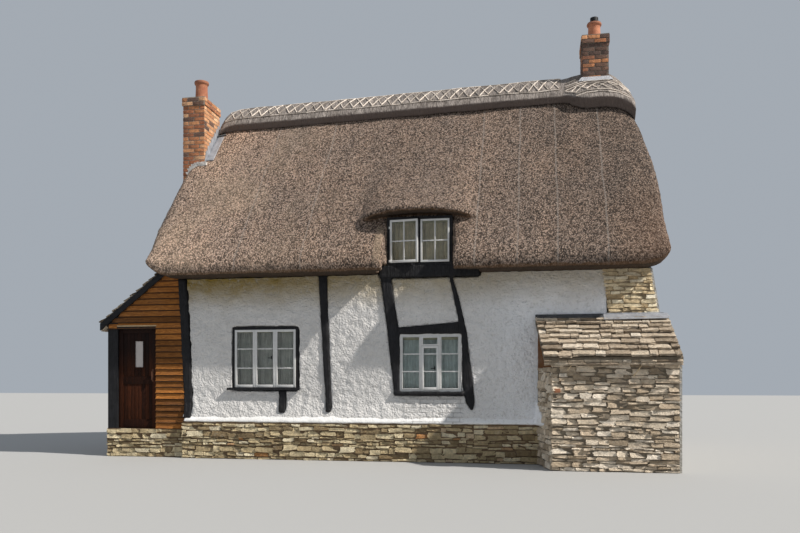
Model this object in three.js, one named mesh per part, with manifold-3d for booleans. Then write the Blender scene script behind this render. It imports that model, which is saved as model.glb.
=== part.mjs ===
// Thatched cottage: a timber-framed, limewashed house on a rubble plinth, under a long thatched roof.
// Millimetres. +X runs to the right along the front wall, +Y runs back into the house, +Z is up.
// The origin is on the ground under the front wall's outer face, near the middle of the front.
import * as THREE from "three";
import { mergeVertices } from "three/addons/utils/BufferGeometryUtils.js";
import Module from "manifold-3d";

const wasm = await Module();
wasm.setup();

// Clearance between pieces that meet, how near two points count as one, and how far a cutting shape
// reaches past what it cuts
const CUT_GAP = 0.3;
const WELD = 1e-3;
const PAST = 300;

// The house: its front wall's face is the plane Y = 0
const HOUSE_LEFT = -4200;
const HOUSE_DEPTH = 4900;
const WALL = 220;
const EAVES = 3150;
const RIDGE_Y = HOUSE_DEPTH / 2;
const PLINTH_TOP = 640;
const PLINTH_PROUD = 100;
const PLINTH_INNER = 400;
const FLOOR_TOP = 620;
const FLOOR_THICK = 100;
const UPPER_FLOOR_TOP = 2700;
const UPPER_FLOOR_THICK = 90;

// The front wall's face sweeps out over the plinth: depth and height, from the bottom up
const WALL_FOOT = [
  [-88, PLINTH_TOP],
  [-80, 700],
  [-45, 830],
  [-15, 960],
  [0, 1090],
];

// The stone gable at the right end, whose outer face leans out towards the ground
const GABLE_INNER = 3050;
const GABLE_OUTER = [
  [3955, 0],
  [3955, 1700],
  [3825, 2380],
  [3695, EAVES],
  [3500, 6500],
];
const RENDER_THICK = 35;

// The doorway from the lean-to into the house
const LEFT_DOORWAY = { y0: 420, y1: 1120, z1: 2350 };

// The windows: left, right, bottom and top of each hole in the wall
const LEFT_WINDOW = { x0: -3320, x1: -2120, z0: 1190, z1: 2290 };
const RIGHT_WINDOW = { x0: -350, x1: 690, z0: 1170, z1: 2140 };
const UPPER_WINDOW = { x0: -555, x1: 545, z0: 3285, z1: 4100 };
const BACK_WINDOW = { x0: -2700, x1: -1500, z0: 1190, z1: 2290 };
const FRAME_BAR = 48;
const FRAME_DEEP = 90;
const FRAME_SET = 15;
const UPPER_FRAME_SET = -45;
const SILL_BOARD = { thick: 42, proud: 55, hornLeft: 80, hornRight: 30 };
const GLASS_THICK = 6;
const GLASS_LAP = 12;

// The crooked timbers: each row is a height, the left edge and the right edge, from the top down
const CORNER_POST = [
  [EAVES, -4336, -4185],
  [2450, -4292, -4132],
  [1900, -4258, -4102],
  [1190, -4221, -4079],
  [690, -4194, -4055],
];
const MIDDLE_POST = [
  [EAVES, -1755, -1615],
  [2400, -1715, -1590],
  [1500, -1660, -1555],
  [820, -1615, -1530],
];
const THICK_POST = [
  [3090, -680, -490],
  [2600, -610, -430],
  [2140, -550, -352],
  [1600, -490, -352],
  [1105, -440, -352],
];
const THIN_POST = [
  [3090, 490, 545],
  [2590, 600, 680],
  [2140, 692, 780],
  [1700, 705, 830],
  [1300, 710, 880],
  [1000, 770, 905],
  [870, 855, 885],
];
const STUB_POST = [
  [1189, -2465, -2340],
  [800, -2450, -2350],
];
const BACK_POST = [
  [3095, -690, -560],
  [2200, -640, -520],
  [1300, -600, -490],
  [800, -590, -480],
];
const RAIL = [
  [-420, 2140],
  [720, 2140],
  [690, 2330],
  [-440, 2240],
];
const SILL_BEAM = { x0: -440, x1: 720, z0: 1105, z1: 1170, proud: 45 };
const HEAD_BEAM = { x0: -690, x1: 1000, z0: 3090, z1: UPPER_WINDOW.z0, proud: 40, back: 100 };
const TIMBER_PROUD = 14;
const TIMBER_SUNK = 50;
const CORNER_POST_SUNK = 120;

// The thatch
const EAVES_REACH = 450;
const EAVES_FACE_TOP = 3450;
const RAFTER_FOOT_Y = 100;
const RAFTER_TOP = 6450;
const THATCH_LEAST = 110;
const RIDGE_LINE = { left: 6880, right: 7100, run: 7200 };
const RIDGE_FALL = { from: 3150, undersideFrom: 3600, bend: 1.86e-3, crown: 5 };
const LEFT_VERGE = { x: -4850, fullest: 4650, lean: 82, bend: 1.85 };
const RIGHT_VERGE = { x: 3960, fullest: 3800, lean: 21, bend: 2.6 };
const VERGE_ROUND = 240;
const VERGE_FALL = 1.2;
const VERGE_CURL = { rise: 190, run: 330 };
const VERGE_STEPS = [0, 40, 110, 200, 330, 480];
const INNER_STATIONS = [-3400, -2600, -1800, -1200, -600, 0, 600, 1200, 1800, 2400, 2850];
const SLOPE_STEPS = 10;

// The cut end of the thatch at the eaves, from the wall outwards: depth, height over the eaves, and how
// much of the verge's curl and of its rounding each point takes
const EAVES_SECTION = [
  [-330, 0, 1, 0],
  [-405, 15, 1, 0],
  [-447, 75, 0.8, 0],
  [-458, 160, 0.6, 0],
  [-430, 275, 0.3, 0.12],
  [-370, 373, 0, 0.2],
];
const SLOPE_FROM_Y = -300;

// The eyebrow over the upper window, and how its face falls back to the slope: rise and reach
const BROW = { middle: -55, half: 1000, stations: 14, reach: 400, lip: 4020, arch: 130, top: 5450 };
const BROW_FACE = [
  [0.1, 0.93],
  [0.26, 0.74],
  [0.46, 0.48],
  [0.68, 0.24],
  [0.88, 0.07],
];

// The ridge: a thick cap over both slopes, and a block of another layer round the right stack. Each end
// is rounded down: distance from the end and fall. The block swells out of the cap over its first stretch:
// distance from its start, and how far it has grown.
const CAP_SLOPE = 1.2586;
const CAP = { x0: -4440, x1: 3640, foot: 400, thick: 150, crown: 70 };
const CAP_STATIONS = [-2000, 500, 3150, 3320, 3480];
const BLOCK = { x0: 2400, x1: 3700, foot: 545, thick: 215, crown: 120 };
const LEFT_END = [
  [0, 230],
  [50, 130],
  [130, 60],
  [260, 15],
  [420, 0],
];
const BLOCK_START = [
  [0, -0.1],
  [140, 0.25],
  [280, 0.75],
  [420, 1],
];
const RIGHT_END = [
  [0, 60],
  [40, 20],
  [110, 0],
  [220, 0],
  [340, 0],
  [470, 0],
  [610, 0],
];

// The stacks and their pots
const LEFT_SHAFT = { x0: -4875, x1: -4440, y0: 1340, y1: 2060, foot: 4750, top: 6880 };
const LEFT_BREAST = { y0: 1250, y1: 2150, shoulder: 4400 };
const RIGHT_SHAFT = { x0: 2775, x1: 3245, y0: 2110, y1: 2790, foot: 6000, top: 7850 };
const RIGHT_CORBEL = { foot: 5400, knee: 5750 };
const STACK_HEAD = { deep: 165, proud: 16 };
const POT_LEFT = { radius: 120, height: 430, wall: 22 };
const POT_RIGHT = { radius: 118, height: 350, wall: 22 };
const COWL = { radius: 76, height: 105, wall: 5 };

// The bread oven's projection at the right end of the front
const OVEN = { front: -950, wallLeft: 1940, frontLeft: 2163, wallRight: 3970, frontRight: 4015 };
const OVEN_EAVES = 1665;
const OVEN_TOP = 2290;
const OVEN_ROOF = { thick: 80, overhang: 70, left: 130, wallLeft: 40, right: 5 };
const OVEN_CHEEK = { foot: 1560, thick: 28 };

// The lean-to: its roof runs down to the left from under the thatch
const LEAN_LEFT = -5680;
const LEAN_FRONT = 30;
const LEAN_REAR = LEFT_BREAST.y0;
const LEAN_FLOOR = 500;
const LEAN_WALL = 70;
const LEAN_POST_BACK = 150;
const LEAN_ROOF = { low: -5812, lowTop: 2378, slope: 0.774, thick: 90, front: -20, barge: 120, bargeThick: 25 };

// The plank door of the lean-to, its pane, its latch and its hinges
const DOORWAY = { x0: -5490, x1: -4746, z1: 2320 };
const LEAF = { x0: -5484, x1: -4752, y0: 30, y1: 75, z0: 512, z1: 2310 };
const PANE = { x0: -5170, x1: -5020, z0: 1595, z1: 2060, rebate: 20, stop: 12 };
const LATCH = { inset: 75, z0: 1340, z1: 1560, plate: 4, reach: 46 };
const HINGE = { x: -5470, y: 87, radius: 9, knuckle: 85, arm: 40 };
const HINGE_HEIGHTS = [900, 1950];
const STRAP = { long: 380, rise: 18, wide: 49, thick: 6 };

// Shapes
const SHAPE_TO_X = new THREE.Matrix4().makeBasis(
  new THREE.Vector3(0, 1, 0),
  new THREE.Vector3(0, 0, 1),
  new THREE.Vector3(1, 0, 0),
);
const SHAPE_TO_Y = new THREE.Matrix4().makeBasis(
  new THREE.Vector3(1, 0, 0),
  new THREE.Vector3(0, 0, 1),
  new THREE.Vector3(0, -1, 0),
);

const mix = (a, b, t) => a + (b - a) * t;
const clamp = (value, low, high) => Math.min(high, Math.max(low, value));

function extruded(points, depth) {
  const shape = new THREE.Shape(points.map(([a, b]) => new THREE.Vector2(a, b)));
  return new THREE.ExtrudeGeometry(shape, { depth, bevelEnabled: false, steps: 1 });
}

// A prism along X from an outline in (y, z).
function prismX(points, x0, x1) {
  return toSolid(extruded(points, x1 - x0).applyMatrix4(SHAPE_TO_X).translate(x0, 0, 0));
}

// A prism along Y from an outline in (x, z).
function prismY(points, y0, y1) {
  return toSolid(extruded(points, y1 - y0).applyMatrix4(SHAPE_TO_Y).translate(0, y1, 0));
}

// A prism along Z from an outline in (x, y).
function prismZ(points, z0, z1) {
  return toSolid(extruded(points, z1 - z0).translate(0, 0, z0));
}

function box(x0, x1, y0, y1, z0, z1) {
  const geometry = new THREE.BoxGeometry(x1 - x0, y1 - y0, z1 - z0);
  return toSolid(geometry.translate((x0 + x1) / 2, (y0 + y1) / 2, (z0 + z1) / 2));
}

// A box over an area of the wall, given by its left, right, bottom and top.
function wallBox({ x0, x1, z0, z1 }, y0, y1, grow = 0) {
  return box(x0 - grow, x1 + grow, y0, y1, z0 - grow, z1 + grow);
}

// A box over an area of the ground, given by its left, right, front and back.
function planBox({ x0, x1, y0, y1 }, z0, z1, grow = 0) {
  return box(x0 - grow, x1 + grow, y0 - grow, y1 + grow, z0, z1);
}

// A round bar along Z.
function bar({ x, y, radius }, z0, z1) {
  const cylinder = new THREE.CylinderGeometry(radius, radius, z1 - z0, 16).rotateX(Math.PI / 2);
  return toSolid(cylinder.translate(x, y, (z0 + z1) / 2));
}

// A six-sided body between two quadrilaterals of (x, z), one at y0 and one at y1.
function taperY(near, y0, far, y1) {
  const corners = [...near.map(([x, z]) => [x, y0, z]), ...far.map(([x, z]) => [x, y1, z])];
  const index = [0, 1, 2, 0, 2, 3, 4, 6, 5, 4, 7, 6];
  for (let side = 0; side < 4; side += 1) {
    const next = (side + 1) % 4;
    index.push(side, side + 4, next, next, side + 4, next + 4);
  }
  const geometry = new THREE.BufferGeometry();
  geometry.setAttribute("position", new THREE.Float32BufferAttribute(corners.flat(), 3));
  geometry.setIndex(index);
  return toSolid(geometry);
}

function toSolid(geometry) {
  const plain = geometry.clone();
  plain.deleteAttribute("normal");
  plain.deleteAttribute("uv");
  const merged = mergeVertices(plain, WELD);
  const mesh = new wasm.Mesh({
    numProp: 3,
    vertProperties: merged.attributes.position.array,
    triVerts: new Uint32Array(merged.index.array),
  });
  return new wasm.Manifold(mesh);
}

function toGeometry(solid) {
  const mesh = solid.getMesh();
  const geometry = new THREE.BufferGeometry();
  geometry.setAttribute("position", new THREE.BufferAttribute(new Float32Array(mesh.vertProperties), 3));
  geometry.setIndex(new THREE.BufferAttribute(new Uint32Array(mesh.triVerts), 1));
  geometry.computeVertexNormals();
  return geometry;
}

// A closed body through rings of equal length, each [x, y, z] and counterclockwise seen from +X.
function loft(rings) {
  const count = rings[0].length;
  const index = [];
  for (let r = 0; r + 1 < rings.length; r += 1) {
    for (let p = 0; p < count; p += 1) {
      const q = (p + 1) % count;
      const a = r * count + p;
      const b = r * count + q;
      const c = (r + 1) * count + q;
      const d = (r + 1) * count + p;
      index.push(a, b, c, a, c, d);
    }
  }
  const caps = (ring) =>
    THREE.ShapeUtils.triangulateShape(ring.map(([, y, z]) => new THREE.Vector2(y, z)), []);
  for (const [a, b, c] of caps(rings[0])) index.push(c, b, a);
  const last = (rings.length - 1) * count;
  for (const [a, b, c] of caps(rings.at(-1))) index.push(last + a, last + b, last + c);
  const geometry = new THREE.BufferGeometry();
  geometry.setAttribute("position", new THREE.Float32BufferAttribute(rings.flat(2), 3));
  geometry.setIndex(index);
  return toSolid(geometry);
}

// The same body on the other side of the ridge's plane.
function mirrored(solid) {
  const geometry = toGeometry(solid);
  geometry.scale(1, -1, 1).translate(0, HOUSE_DEPTH, 0);
  const corners = geometry.index.array;
  for (let i = 0; i < corners.length; i += 3) {
    [corners[i + 1], corners[i + 2]] = [corners[i + 2], corners[i + 1]];
  }
  return toSolid(geometry);
}

function moved(solid, x, y, z) {
  return toSolid(toGeometry(solid).translate(x, y, z));
}

function joined(...solids) {
  return solids.reduce((whole, next) => whole.add(next));
}

function cut(solid, ...tools) {
  return tools.reduce((left, tool) => left.subtract(tool), solid);
}

// Finishes
const FINISH = {
  limewash: { color: 0xe9e8e2, roughness: 0.95, metalness: 0 },
  rubble: { color: 0x9c8f77, roughness: 0.95, metalness: 0 },
  tarred: { color: 0x15161a, roughness: 0.6, metalness: 0 },
  thatch: { color: 0x7d6a58, roughness: 1, metalness: 0 },
  ridge: { color: 0xa59783, roughness: 1, metalness: 0 },
  brick: { color: 0xa8532f, roughness: 0.9, metalness: 0 },
  pot: { color: 0xa24d2c, roughness: 0.8, metalness: 0 },
  boards: { color: 0x8a5a33, roughness: 0.85, metalness: 0 },
  door: { color: 0x2c1d17, roughness: 0.6, metalness: 0 },
  glass: { color: 0x6f7a72, roughness: 0.1, metalness: 0 },
  iron: { color: 0x202020, roughness: 0.5, metalness: 0.8 },
  slate: { color: 0x8c8371, roughness: 0.95, metalness: 0 },
  floor: { color: 0x7b6c58, roughness: 0.9, metalness: 0 },
};

const cottage = new THREE.Group();
cottage.name = "thatched_cottage";

function add(name, solid, finish, place = [0, 0, 0]) {
  const mesh = new THREE.Mesh(toGeometry(solid), new THREE.MeshStandardMaterial(FINISH[finish]));
  mesh.name = name;
  mesh.position.set(...place);
  cottage.add(mesh);
}

// Timbers
function timberOutline(rows, grow = 0) {
  const left = rows.map(([z, x0]) => [x0 - grow, z]);
  const right = rows.map(([z, , x1]) => [x1 + grow, z]);
  left[0][1] += grow;
  right[0][1] += grow;
  left.at(-1)[1] -= grow;
  right.at(-1)[1] -= grow;
  return [...left, ...right.reverse()];
}

// A quadrilateral pushed out from its middle.
function grownOutline(points, grow) {
  const middleX = points.reduce((sum, [x]) => sum + x, 0) / points.length;
  const middleZ = points.reduce((sum, [, z]) => sum + z, 0) / points.length;
  return points.map(([x, z]) => [x + Math.sign(x - middleX) * grow, z + Math.sign(z - middleZ) * grow]);
}

// The front wall's cross-section, its face moved forward by some amount.
function wallProfile(proud, thick) {
  const face = WALL_FOOT.map(([y, z]) => [y - proud, z]);
  return [...face, [-proud, EAVES], [thick, EAVES], [thick, PLINTH_TOP]].reverse();
}

// A timber that lies in the wall's face and stands a little proud of it.
function timber(outline, sunk = TIMBER_SUNK) {
  const face = prismX(wallProfile(TIMBER_PROUD, WALL), HOUSE_LEFT - PAST, GABLE_INNER);
  return prismY(outline, -PAST, sunk).intersect(face);
}

function timberSocket(outline, sunk = TIMBER_SUNK) {
  return prismY(outline, -PAST, sunk + CUT_GAP);
}

const cornerSocket = () => timberSocket(timberOutline(CORNER_POST, CUT_GAP), CORNER_POST_SUNK);

function addFrontTimbers() {
  add("corner_post", timber(timberOutline(CORNER_POST), CORNER_POST_SUNK), "tarred");
  add("middle_post", timber(timberOutline(MIDDLE_POST)), "tarred");
  add("stub_post", timber(timberOutline(STUB_POST)), "tarred");
  const frame = joined(
    timber(timberOutline(THICK_POST)),
    timber(timberOutline(THIN_POST)),
    timber(RAIL),
    wallBox(SILL_BEAM, -SILL_BEAM.proud, TIMBER_SUNK),
    wallBox(HEAD_BEAM, -HEAD_BEAM.proud, HEAD_BEAM.back),
  );
  add("bay_frame", cut(frame, wallBox(RIGHT_WINDOW, -PAST, PAST, CUT_GAP)), "tarred");
}

// Walls, plinths and floors
function addPlinths() {
  const ledge = FLOOR_TOP - FLOOR_THICK;
  const front = [
    [-PLINTH_PROUD, 0],
    [PLINTH_INNER, 0],
    [PLINTH_INNER, ledge],
    [WALL, ledge],
    [WALL, PLINTH_TOP],
    [-PLINTH_PROUD, PLINTH_TOP],
  ];
  const back = front.map(([y, z]) => [HOUSE_DEPTH - y, z]).reverse();
  add("front_plinth", prismX(front, HOUSE_LEFT, GABLE_INNER), "rubble");
  add("back_plinth", prismX(back, HOUSE_LEFT, GABLE_INNER), "rubble");
  const left = [
    [0, 0],
    [PLINTH_INNER, 0],
    [PLINTH_INNER, ledge],
    [WALL, ledge],
    [WALL, PLINTH_TOP],
    [0, PLINTH_TOP],
  ].map(([x, z]) => [HOUSE_LEFT + x, z]);
  add("left_plinth", prismY(left, PLINTH_INNER, HOUSE_DEPTH - PLINTH_INNER), "rubble");
}

function addFloors() {
  const inner = { x0: HOUSE_LEFT + WALL, x1: GABLE_INNER, y0: WALL, y1: HOUSE_DEPTH - WALL };
  add("ground_floor", planBox(inner, FLOOR_TOP - FLOOR_THICK, FLOOR_TOP), "floor");
  add("upper_floor", planBox(inner, UPPER_FLOOR_TOP - UPPER_FLOOR_THICK, UPPER_FLOOR_TOP), "floor");
}

function addFrontWall() {
  const wall = prismX(wallProfile(0, WALL), HOUSE_LEFT, GABLE_INNER);
  const sockets = [MIDDLE_POST, THICK_POST, THIN_POST, STUB_POST].map((rows) =>
    timberSocket(timberOutline(rows, CUT_GAP)),
  );
  const holes = [LEFT_WINDOW, RIGHT_WINDOW].map((hole) => wallBox(hole, -PAST, PAST));
  const beamArea = { ...HEAD_BEAM, z1: EAVES + PAST };
  const beam = wallBox(beamArea, -PAST, HEAD_BEAM.back + CUT_GAP, CUT_GAP);
  const rail = timberSocket(grownOutline(RAIL, CUT_GAP));
  const sill = wallBox(SILL_BEAM, -PAST, TIMBER_SUNK + CUT_GAP, CUT_GAP);
  add("front_wall", cut(wall, cornerSocket(), ...sockets, ...holes, beam, rail, sill), "limewash");
}

// The beam over the back wall, level with the front one.
function backBeam(grow, proud) {
  return wallBox(HEAD_BEAM, HOUSE_DEPTH - HEAD_BEAM.back - grow, HOUSE_DEPTH + proud, grow);
}

function addBackWall() {
  const area = { x0: HOUSE_LEFT, x1: GABLE_INNER, z0: PLINTH_TOP, z1: EAVES };
  const wall = wallBox(area, HOUSE_DEPTH - WALL, HOUSE_DEPTH);
  const hole = wallBox(BACK_WINDOW, HOUSE_DEPTH - PAST, HOUSE_DEPTH + PAST);
  const inner = HOUSE_DEPTH - TIMBER_SUNK;
  const socket = prismY(timberOutline(BACK_POST, CUT_GAP), inner - CUT_GAP, HOUSE_DEPTH + PAST);
  add("back_wall", cut(wall, hole, socket, backBeam(CUT_GAP, PAST)), "limewash");
  const post = prismY(timberOutline(BACK_POST), inner, HOUSE_DEPTH + TIMBER_PROUD);
  add("back_frame", joined(post, backBeam(0, HEAD_BEAM.proud)), "tarred");
}

// The underside of the thatch, which falls with the ridge past the right gable's top.
function underside(x, y) {
  const fall = Math.max(0, ridgeFall(x) - ridgeFall(RIDGE_FALL.undersideFrom));
  const along = Math.max(0, y - RAFTER_FOOT_Y) / (RIDGE_Y - RAFTER_FOOT_Y);
  return mix(EAVES, RAFTER_TOP, along) - fall * along ** RIDGE_FALL.crown;
}

function addLeftWall() {
  const x0 = HOUSE_LEFT;
  const x1 = HOUSE_LEFT + WALL;
  const { y0, y1, z1 } = LEFT_DOORWAY;
  add("left_wall_front", box(x0, x1, WALL, y0, PLINTH_TOP, z1), "limewash");
  add("left_wall_rear", box(x0, x1, y1, HOUSE_DEPTH - WALL, PLINTH_TOP, z1), "limewash");
  const gable = [
    [WALL, z1],
    [HOUSE_DEPTH - WALL, z1],
    [HOUSE_DEPTH - WALL, underside(x0, WALL) - CUT_GAP],
    [RIDGE_Y, RAFTER_TOP - CUT_GAP],
    [WALL, underside(x0, WALL) - CUT_GAP],
  ];
  add("left_gable", prismX(gable, x0, x1), "limewash");
}

// The right gable: its cross-section with the outer face moved out, and its elevation.
function gableSection(outset) {
  const outer = GABLE_OUTER.map(([x, z]) => [x + outset, z]);
  return [[GABLE_INNER, 0], ...outer, [GABLE_INNER, GABLE_OUTER.at(-1)[1]]];
}

const GABLE_ELEVATION = [
  [0, 0],
  [HOUSE_DEPTH, 0],
  [HOUSE_DEPTH, EAVES],
  [HOUSE_DEPTH - RAFTER_FOOT_Y, EAVES - CUT_GAP],
  [RIDGE_Y, RAFTER_TOP - CUT_GAP],
  [RAFTER_FOOT_Y, EAVES - CUT_GAP],
  [0, EAVES],
];

function addRightGable() {
  const whole = prismX(GABLE_ELEVATION, GABLE_INNER, GABLE_OUTER[0][0] + PAST);
  const stone = whole.intersect(prismY(gableSection(0), 0, HOUSE_DEPTH));
  const seat = planBox(RIGHT_SHAFT, RIGHT_SHAFT.foot, RIGHT_SHAFT.top, CUT_GAP);
  add("right_gable", cut(stone, seat), "rubble");
  const skin = whole.intersect(prismY(gableSection(RENDER_THICK), 0, HOUSE_DEPTH));
  const inside = prismY(gableSection(CUT_GAP), -PAST, HOUSE_DEPTH + PAST);
  add("gable_render", cut(skin, inside), "limewash");
}

// Windows: a tarred frame with uprights between the lights, and one sheet of glass behind it. "side" is 1
// where the room lies towards +Y and -1 where it lies towards -Y.
function between(a, b) {
  return [Math.min(a, b), Math.max(a, b)];
}

function windowFrame({ x0, x1, z0, z1 }, lights, faceY, side) {
  const outer = faceY + side * FRAME_SET;
  const depth = between(outer, outer + side * FRAME_DEEP);
  const past = between(outer - side * PAST, outer + side * PAST);
  let frame = wallBox({ x0, x1, z0, z1 }, ...depth, -CUT_GAP);
  const pitch = (x1 - x0 - FRAME_BAR) / lights;
  for (let light = 0; light < lights; light += 1) {
    const left = x0 + FRAME_BAR + light * pitch;
    frame = frame.subtract(
      box(left, left + pitch - FRAME_BAR, ...past, z0 + FRAME_BAR, z1 - FRAME_BAR),
    );
  }
  return frame;
}

// The board under a window, whose horns run past the hole along the wall's face.
function sillBoard({ x0, x1, z0 }, faceY, side) {
  const lip = faceY - side * SILL_BOARD.proud;
  const seat = between(lip, faceY + side * (FRAME_SET + 1));
  const horn = between(lip, faceY - side * CUT_GAP);
  const rise = [z0 + CUT_GAP, z0 + SILL_BOARD.thick];
  return joined(
    box(x0 + CUT_GAP, x1 - CUT_GAP, ...seat, ...rise),
    box(x0 - SILL_BOARD.hornLeft, x1 + SILL_BOARD.hornRight, ...horn, ...rise),
  );
}

function windowGlass(hole, faceY, side) {
  const outer = faceY + side * (FRAME_SET + FRAME_DEEP + CUT_GAP);
  return wallBox(hole, ...between(outer, outer + side * GLASS_THICK), -GLASS_LAP);
}

function addWindow(name, hole, lights, faceY, side, withSill = false) {
  const frame = windowFrame(hole, lights, faceY, side);
  const whole = withSill ? joined(frame, sillBoard(hole, faceY, side)) : frame;
  add(`${name}_frame`, whole, "tarred");
  add(`${name}_glass`, windowGlass(hole, faceY, side), "glass");
}

function addWindows() {
  addWindow("left_window", LEFT_WINDOW, 3, 0, 1, true);
  addWindow("right_window", RIGHT_WINDOW, 3, 0, 1);
  addWindow("upper_window", UPPER_WINDOW, 2, UPPER_FRAME_SET, 1);
  addWindow("back_window", BACK_WINDOW, 3, HOUSE_DEPTH, -1, true);
  addWindow("back_upper", UPPER_WINDOW, 2, HOUSE_DEPTH - UPPER_FRAME_SET, -1);
}

// Thatch
const ridgeFall = (x) => RIDGE_FALL.bend * Math.max(0, x - RIDGE_FALL.from) ** 2;

function mainRidge(x) {
  return mix(RIDGE_LINE.left, RIDGE_LINE.right, clamp((x - HOUSE_LEFT) / RIDGE_LINE.run, 0, 1));
}

// The outer face's height. Over the right end the ridge falls away and the crown grows flat.
function slopeHeight(x, y) {
  const along = (y + EAVES_REACH) / (RIDGE_Y + EAVES_REACH);
  return mix(EAVES_FACE_TOP, mainRidge(x), along) - ridgeFall(x) * along ** RIDGE_FALL.crown;
}

function slopeDepth(x, z) {
  const along = (z - EAVES_FACE_TOP) / (mainRidge(x) - EAVES_FACE_TOP);
  return mix(-EAVES_REACH, RIDGE_Y, along);
}

// How far the verge has drawn in at some height.
function vergeLean({ fullest, lean, bend }, z) {
  return lean * Math.abs((z - fullest) / 1000) ** bend;
}

const vergeLeft = (z) => LEFT_VERGE.x + vergeLean(LEFT_VERGE, z);
const vergeRight = (z) => RIGHT_VERGE.x - vergeLean(RIGHT_VERGE, z);

// How far the outer face has dropped at some distance in from the verge.
function vergeDrop(distance) {
  const inset = Math.max(0, VERGE_ROUND - distance);
  return VERGE_FALL * (VERGE_ROUND - Math.sqrt(VERGE_ROUND ** 2 - inset ** 2));
}

// The point of the outer face at depth y in the section that "place" puts at some x for each height.
function slopePoint(place, y) {
  let x = place(EAVES_FACE_TOP);
  for (let round = 0; round < 12; round += 1) x = mix(x, place(slopeHeight(x, y)), 0.5);
  return [x, y, slopeHeight(x, y)];
}

// One section of the front slope. "from" is the distance in from the verge that it stands at.
function slopeRing(place, from) {
  const drop = vergeDrop(from);
  const curl = VERGE_CURL.rise * Math.max(0, 1 - from / VERGE_CURL.run) ** 2;
  const ring = [[place(EAVES), RAFTER_FOOT_Y, EAVES + curl * 0.8]];
  for (const [y, rise, curled, dropped] of EAVES_SECTION) {
    const z = EAVES + rise + curl * curled - drop * dropped;
    ring.push([place(z), y, z]);
  }
  for (let step = 1; step <= SLOPE_STEPS; step += 1) {
    const [x, y, z] = slopePoint(place, mix(SLOPE_FROM_Y, RIDGE_Y, step / SLOPE_STEPS));
    ring.push([x, y, Math.max(z - drop, underside(x, y) + THATCH_LEAST)]);
  }
  const [apexX] = ring.at(-1);
  ring.push([apexX, RIDGE_Y, underside(apexX, RIDGE_Y)]);
  return ring.reverse();
}

// The front slope from verge to verge, swollen upwards and sideways by "lift".
function slopeBody(lift = 0) {
  const left = VERGE_STEPS.map((from) => slopeRing((z) => vergeLeft(z) + from, from));
  const inner = INNER_STATIONS.map((x) => slopeRing(() => x, VERGE_CURL.run));
  const right = VERGE_STEPS.map((from) => slopeRing((z) => vergeRight(z) - from, from)).reverse();
  const spread = (rings, side) =>
    rings.map((ring) => ring.map(([x, y, z]) => [x + side * lift, y, z + lift]));
  return loft([...spread(left, -1), ...spread(inner, 0), ...spread(right, 1)]);
}

// The eyebrow: a lip that stands out over the upper window and fades into the slope.
function browRing(x) {
  const across = clamp(Math.abs((x - BROW.middle) / BROW.half), 0, 1);
  const swell = (1 - across ** 2.4) ** 0.8;
  const lipZ = BROW.lip + BROW.arch * (1 - across ** 3);
  const sink = 30 * (1 - swell);
  const lipY = slopeDepth(x, lipZ) - BROW.reach * swell + sink;
  const ring = [
    [slopeDepth(x, lipZ) + 260, lipZ + 60],
    [lipY + 90, lipZ],
    [lipY + 20, lipZ + 25],
    [lipY, lipZ + 80],
  ];
  for (const [rise, out] of BROW_FACE) {
    const z = mix(lipZ + 60, BROW.top, rise);
    ring.push([slopeDepth(x, z) - BROW.reach * out * swell + sink, z]);
  }
  ring.push([slopeDepth(x, BROW.top) + 30, BROW.top], [slopeDepth(x, BROW.top) + 160, BROW.top]);
  return ring.map(([y, z]) => [x, y, z]).reverse();
}

function browBody() {
  const rings = [];
  for (let station = 0; station <= BROW.stations; station += 1) {
    const turn = (station / BROW.stations) * Math.PI;
    rings.push(browRing(BROW.middle - BROW.half * Math.cos(turn)));
  }
  return loft(rings);
}

// The cut through the thatch that the upper window stands in, with cheeks that open towards the front.
function windowNotch() {
  const { x0, x1, z0, z1 } = UPPER_WINDOW;
  const below = z0 - PAST;
  const outside = [
    [x0 - 30, below],
    [x1 + 45, below],
    [x1 + 120, z1 + 60],
    [x0 - 230, z1 + 60],
  ];
  const inside = [
    [x0 - 20, below],
    [x1 + 20, below],
    [x1 + 20, z1 + 10],
    [x0 - 20, z1 + 10],
  ];
  return joined(
    wallBox({ x0, x1, z0: below, z1 }, -700, 650, CUT_GAP),
    wallBox({ ...HEAD_BEAM, z0: below }, -PAST, HEAD_BEAM.back + CUT_GAP, CUT_GAP),
    taperY(outside, -700, inside, UPPER_FRAME_SET + FRAME_SET),
  );
}

// The ridge cap's section over the outer face, its cut edges square to the slope.
function ridgeRing(x, { foot, thick, crown }, drop) {
  const lean = Math.atan(CAP_SLOPE);
  const edgeY = thick * Math.sin(lean);
  const edgeZ = thick * Math.cos(lean);
  const face = (out) => slopeHeight(x, RIDGE_Y - out) - drop;
  const top = face(0) + crown;
  const half = [
    [foot, face(foot) - 60],
    [foot + edgeY, face(foot) + edgeZ],
    [foot * 0.72 + edgeY * 0.8, face(foot * 0.72) + edgeZ * 1.6],
    [foot * 0.42, mix(face(foot * 0.42) + edgeZ * 1.6, top, 0.66)],
    [foot * 0.2, mix(face(foot * 0.2) + edgeZ * 1.6, top, 0.9)],
  ];
  const front = half.map(([out, z]) => [x, RIDGE_Y - out, z]);
  const rear = half.map(([out, z]) => [x, RIDGE_Y + out, z]).reverse();
  const keel = Math.max(face(0) - 250, underside(x, RIDGE_Y) + THATCH_LEAST / 2);
  return [...front, [x, RIDGE_Y, top], ...rear, [x, RIDGE_Y, keel]].reverse();
}

function capBody() {
  const left = LEFT_END.map(([inset, drop]) => ridgeRing(CAP.x0 + inset, CAP, drop));
  return loft([...left, ...[...CAP_STATIONS, CAP.x1].map((x) => ridgeRing(x, CAP, 0))]);
}

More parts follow.
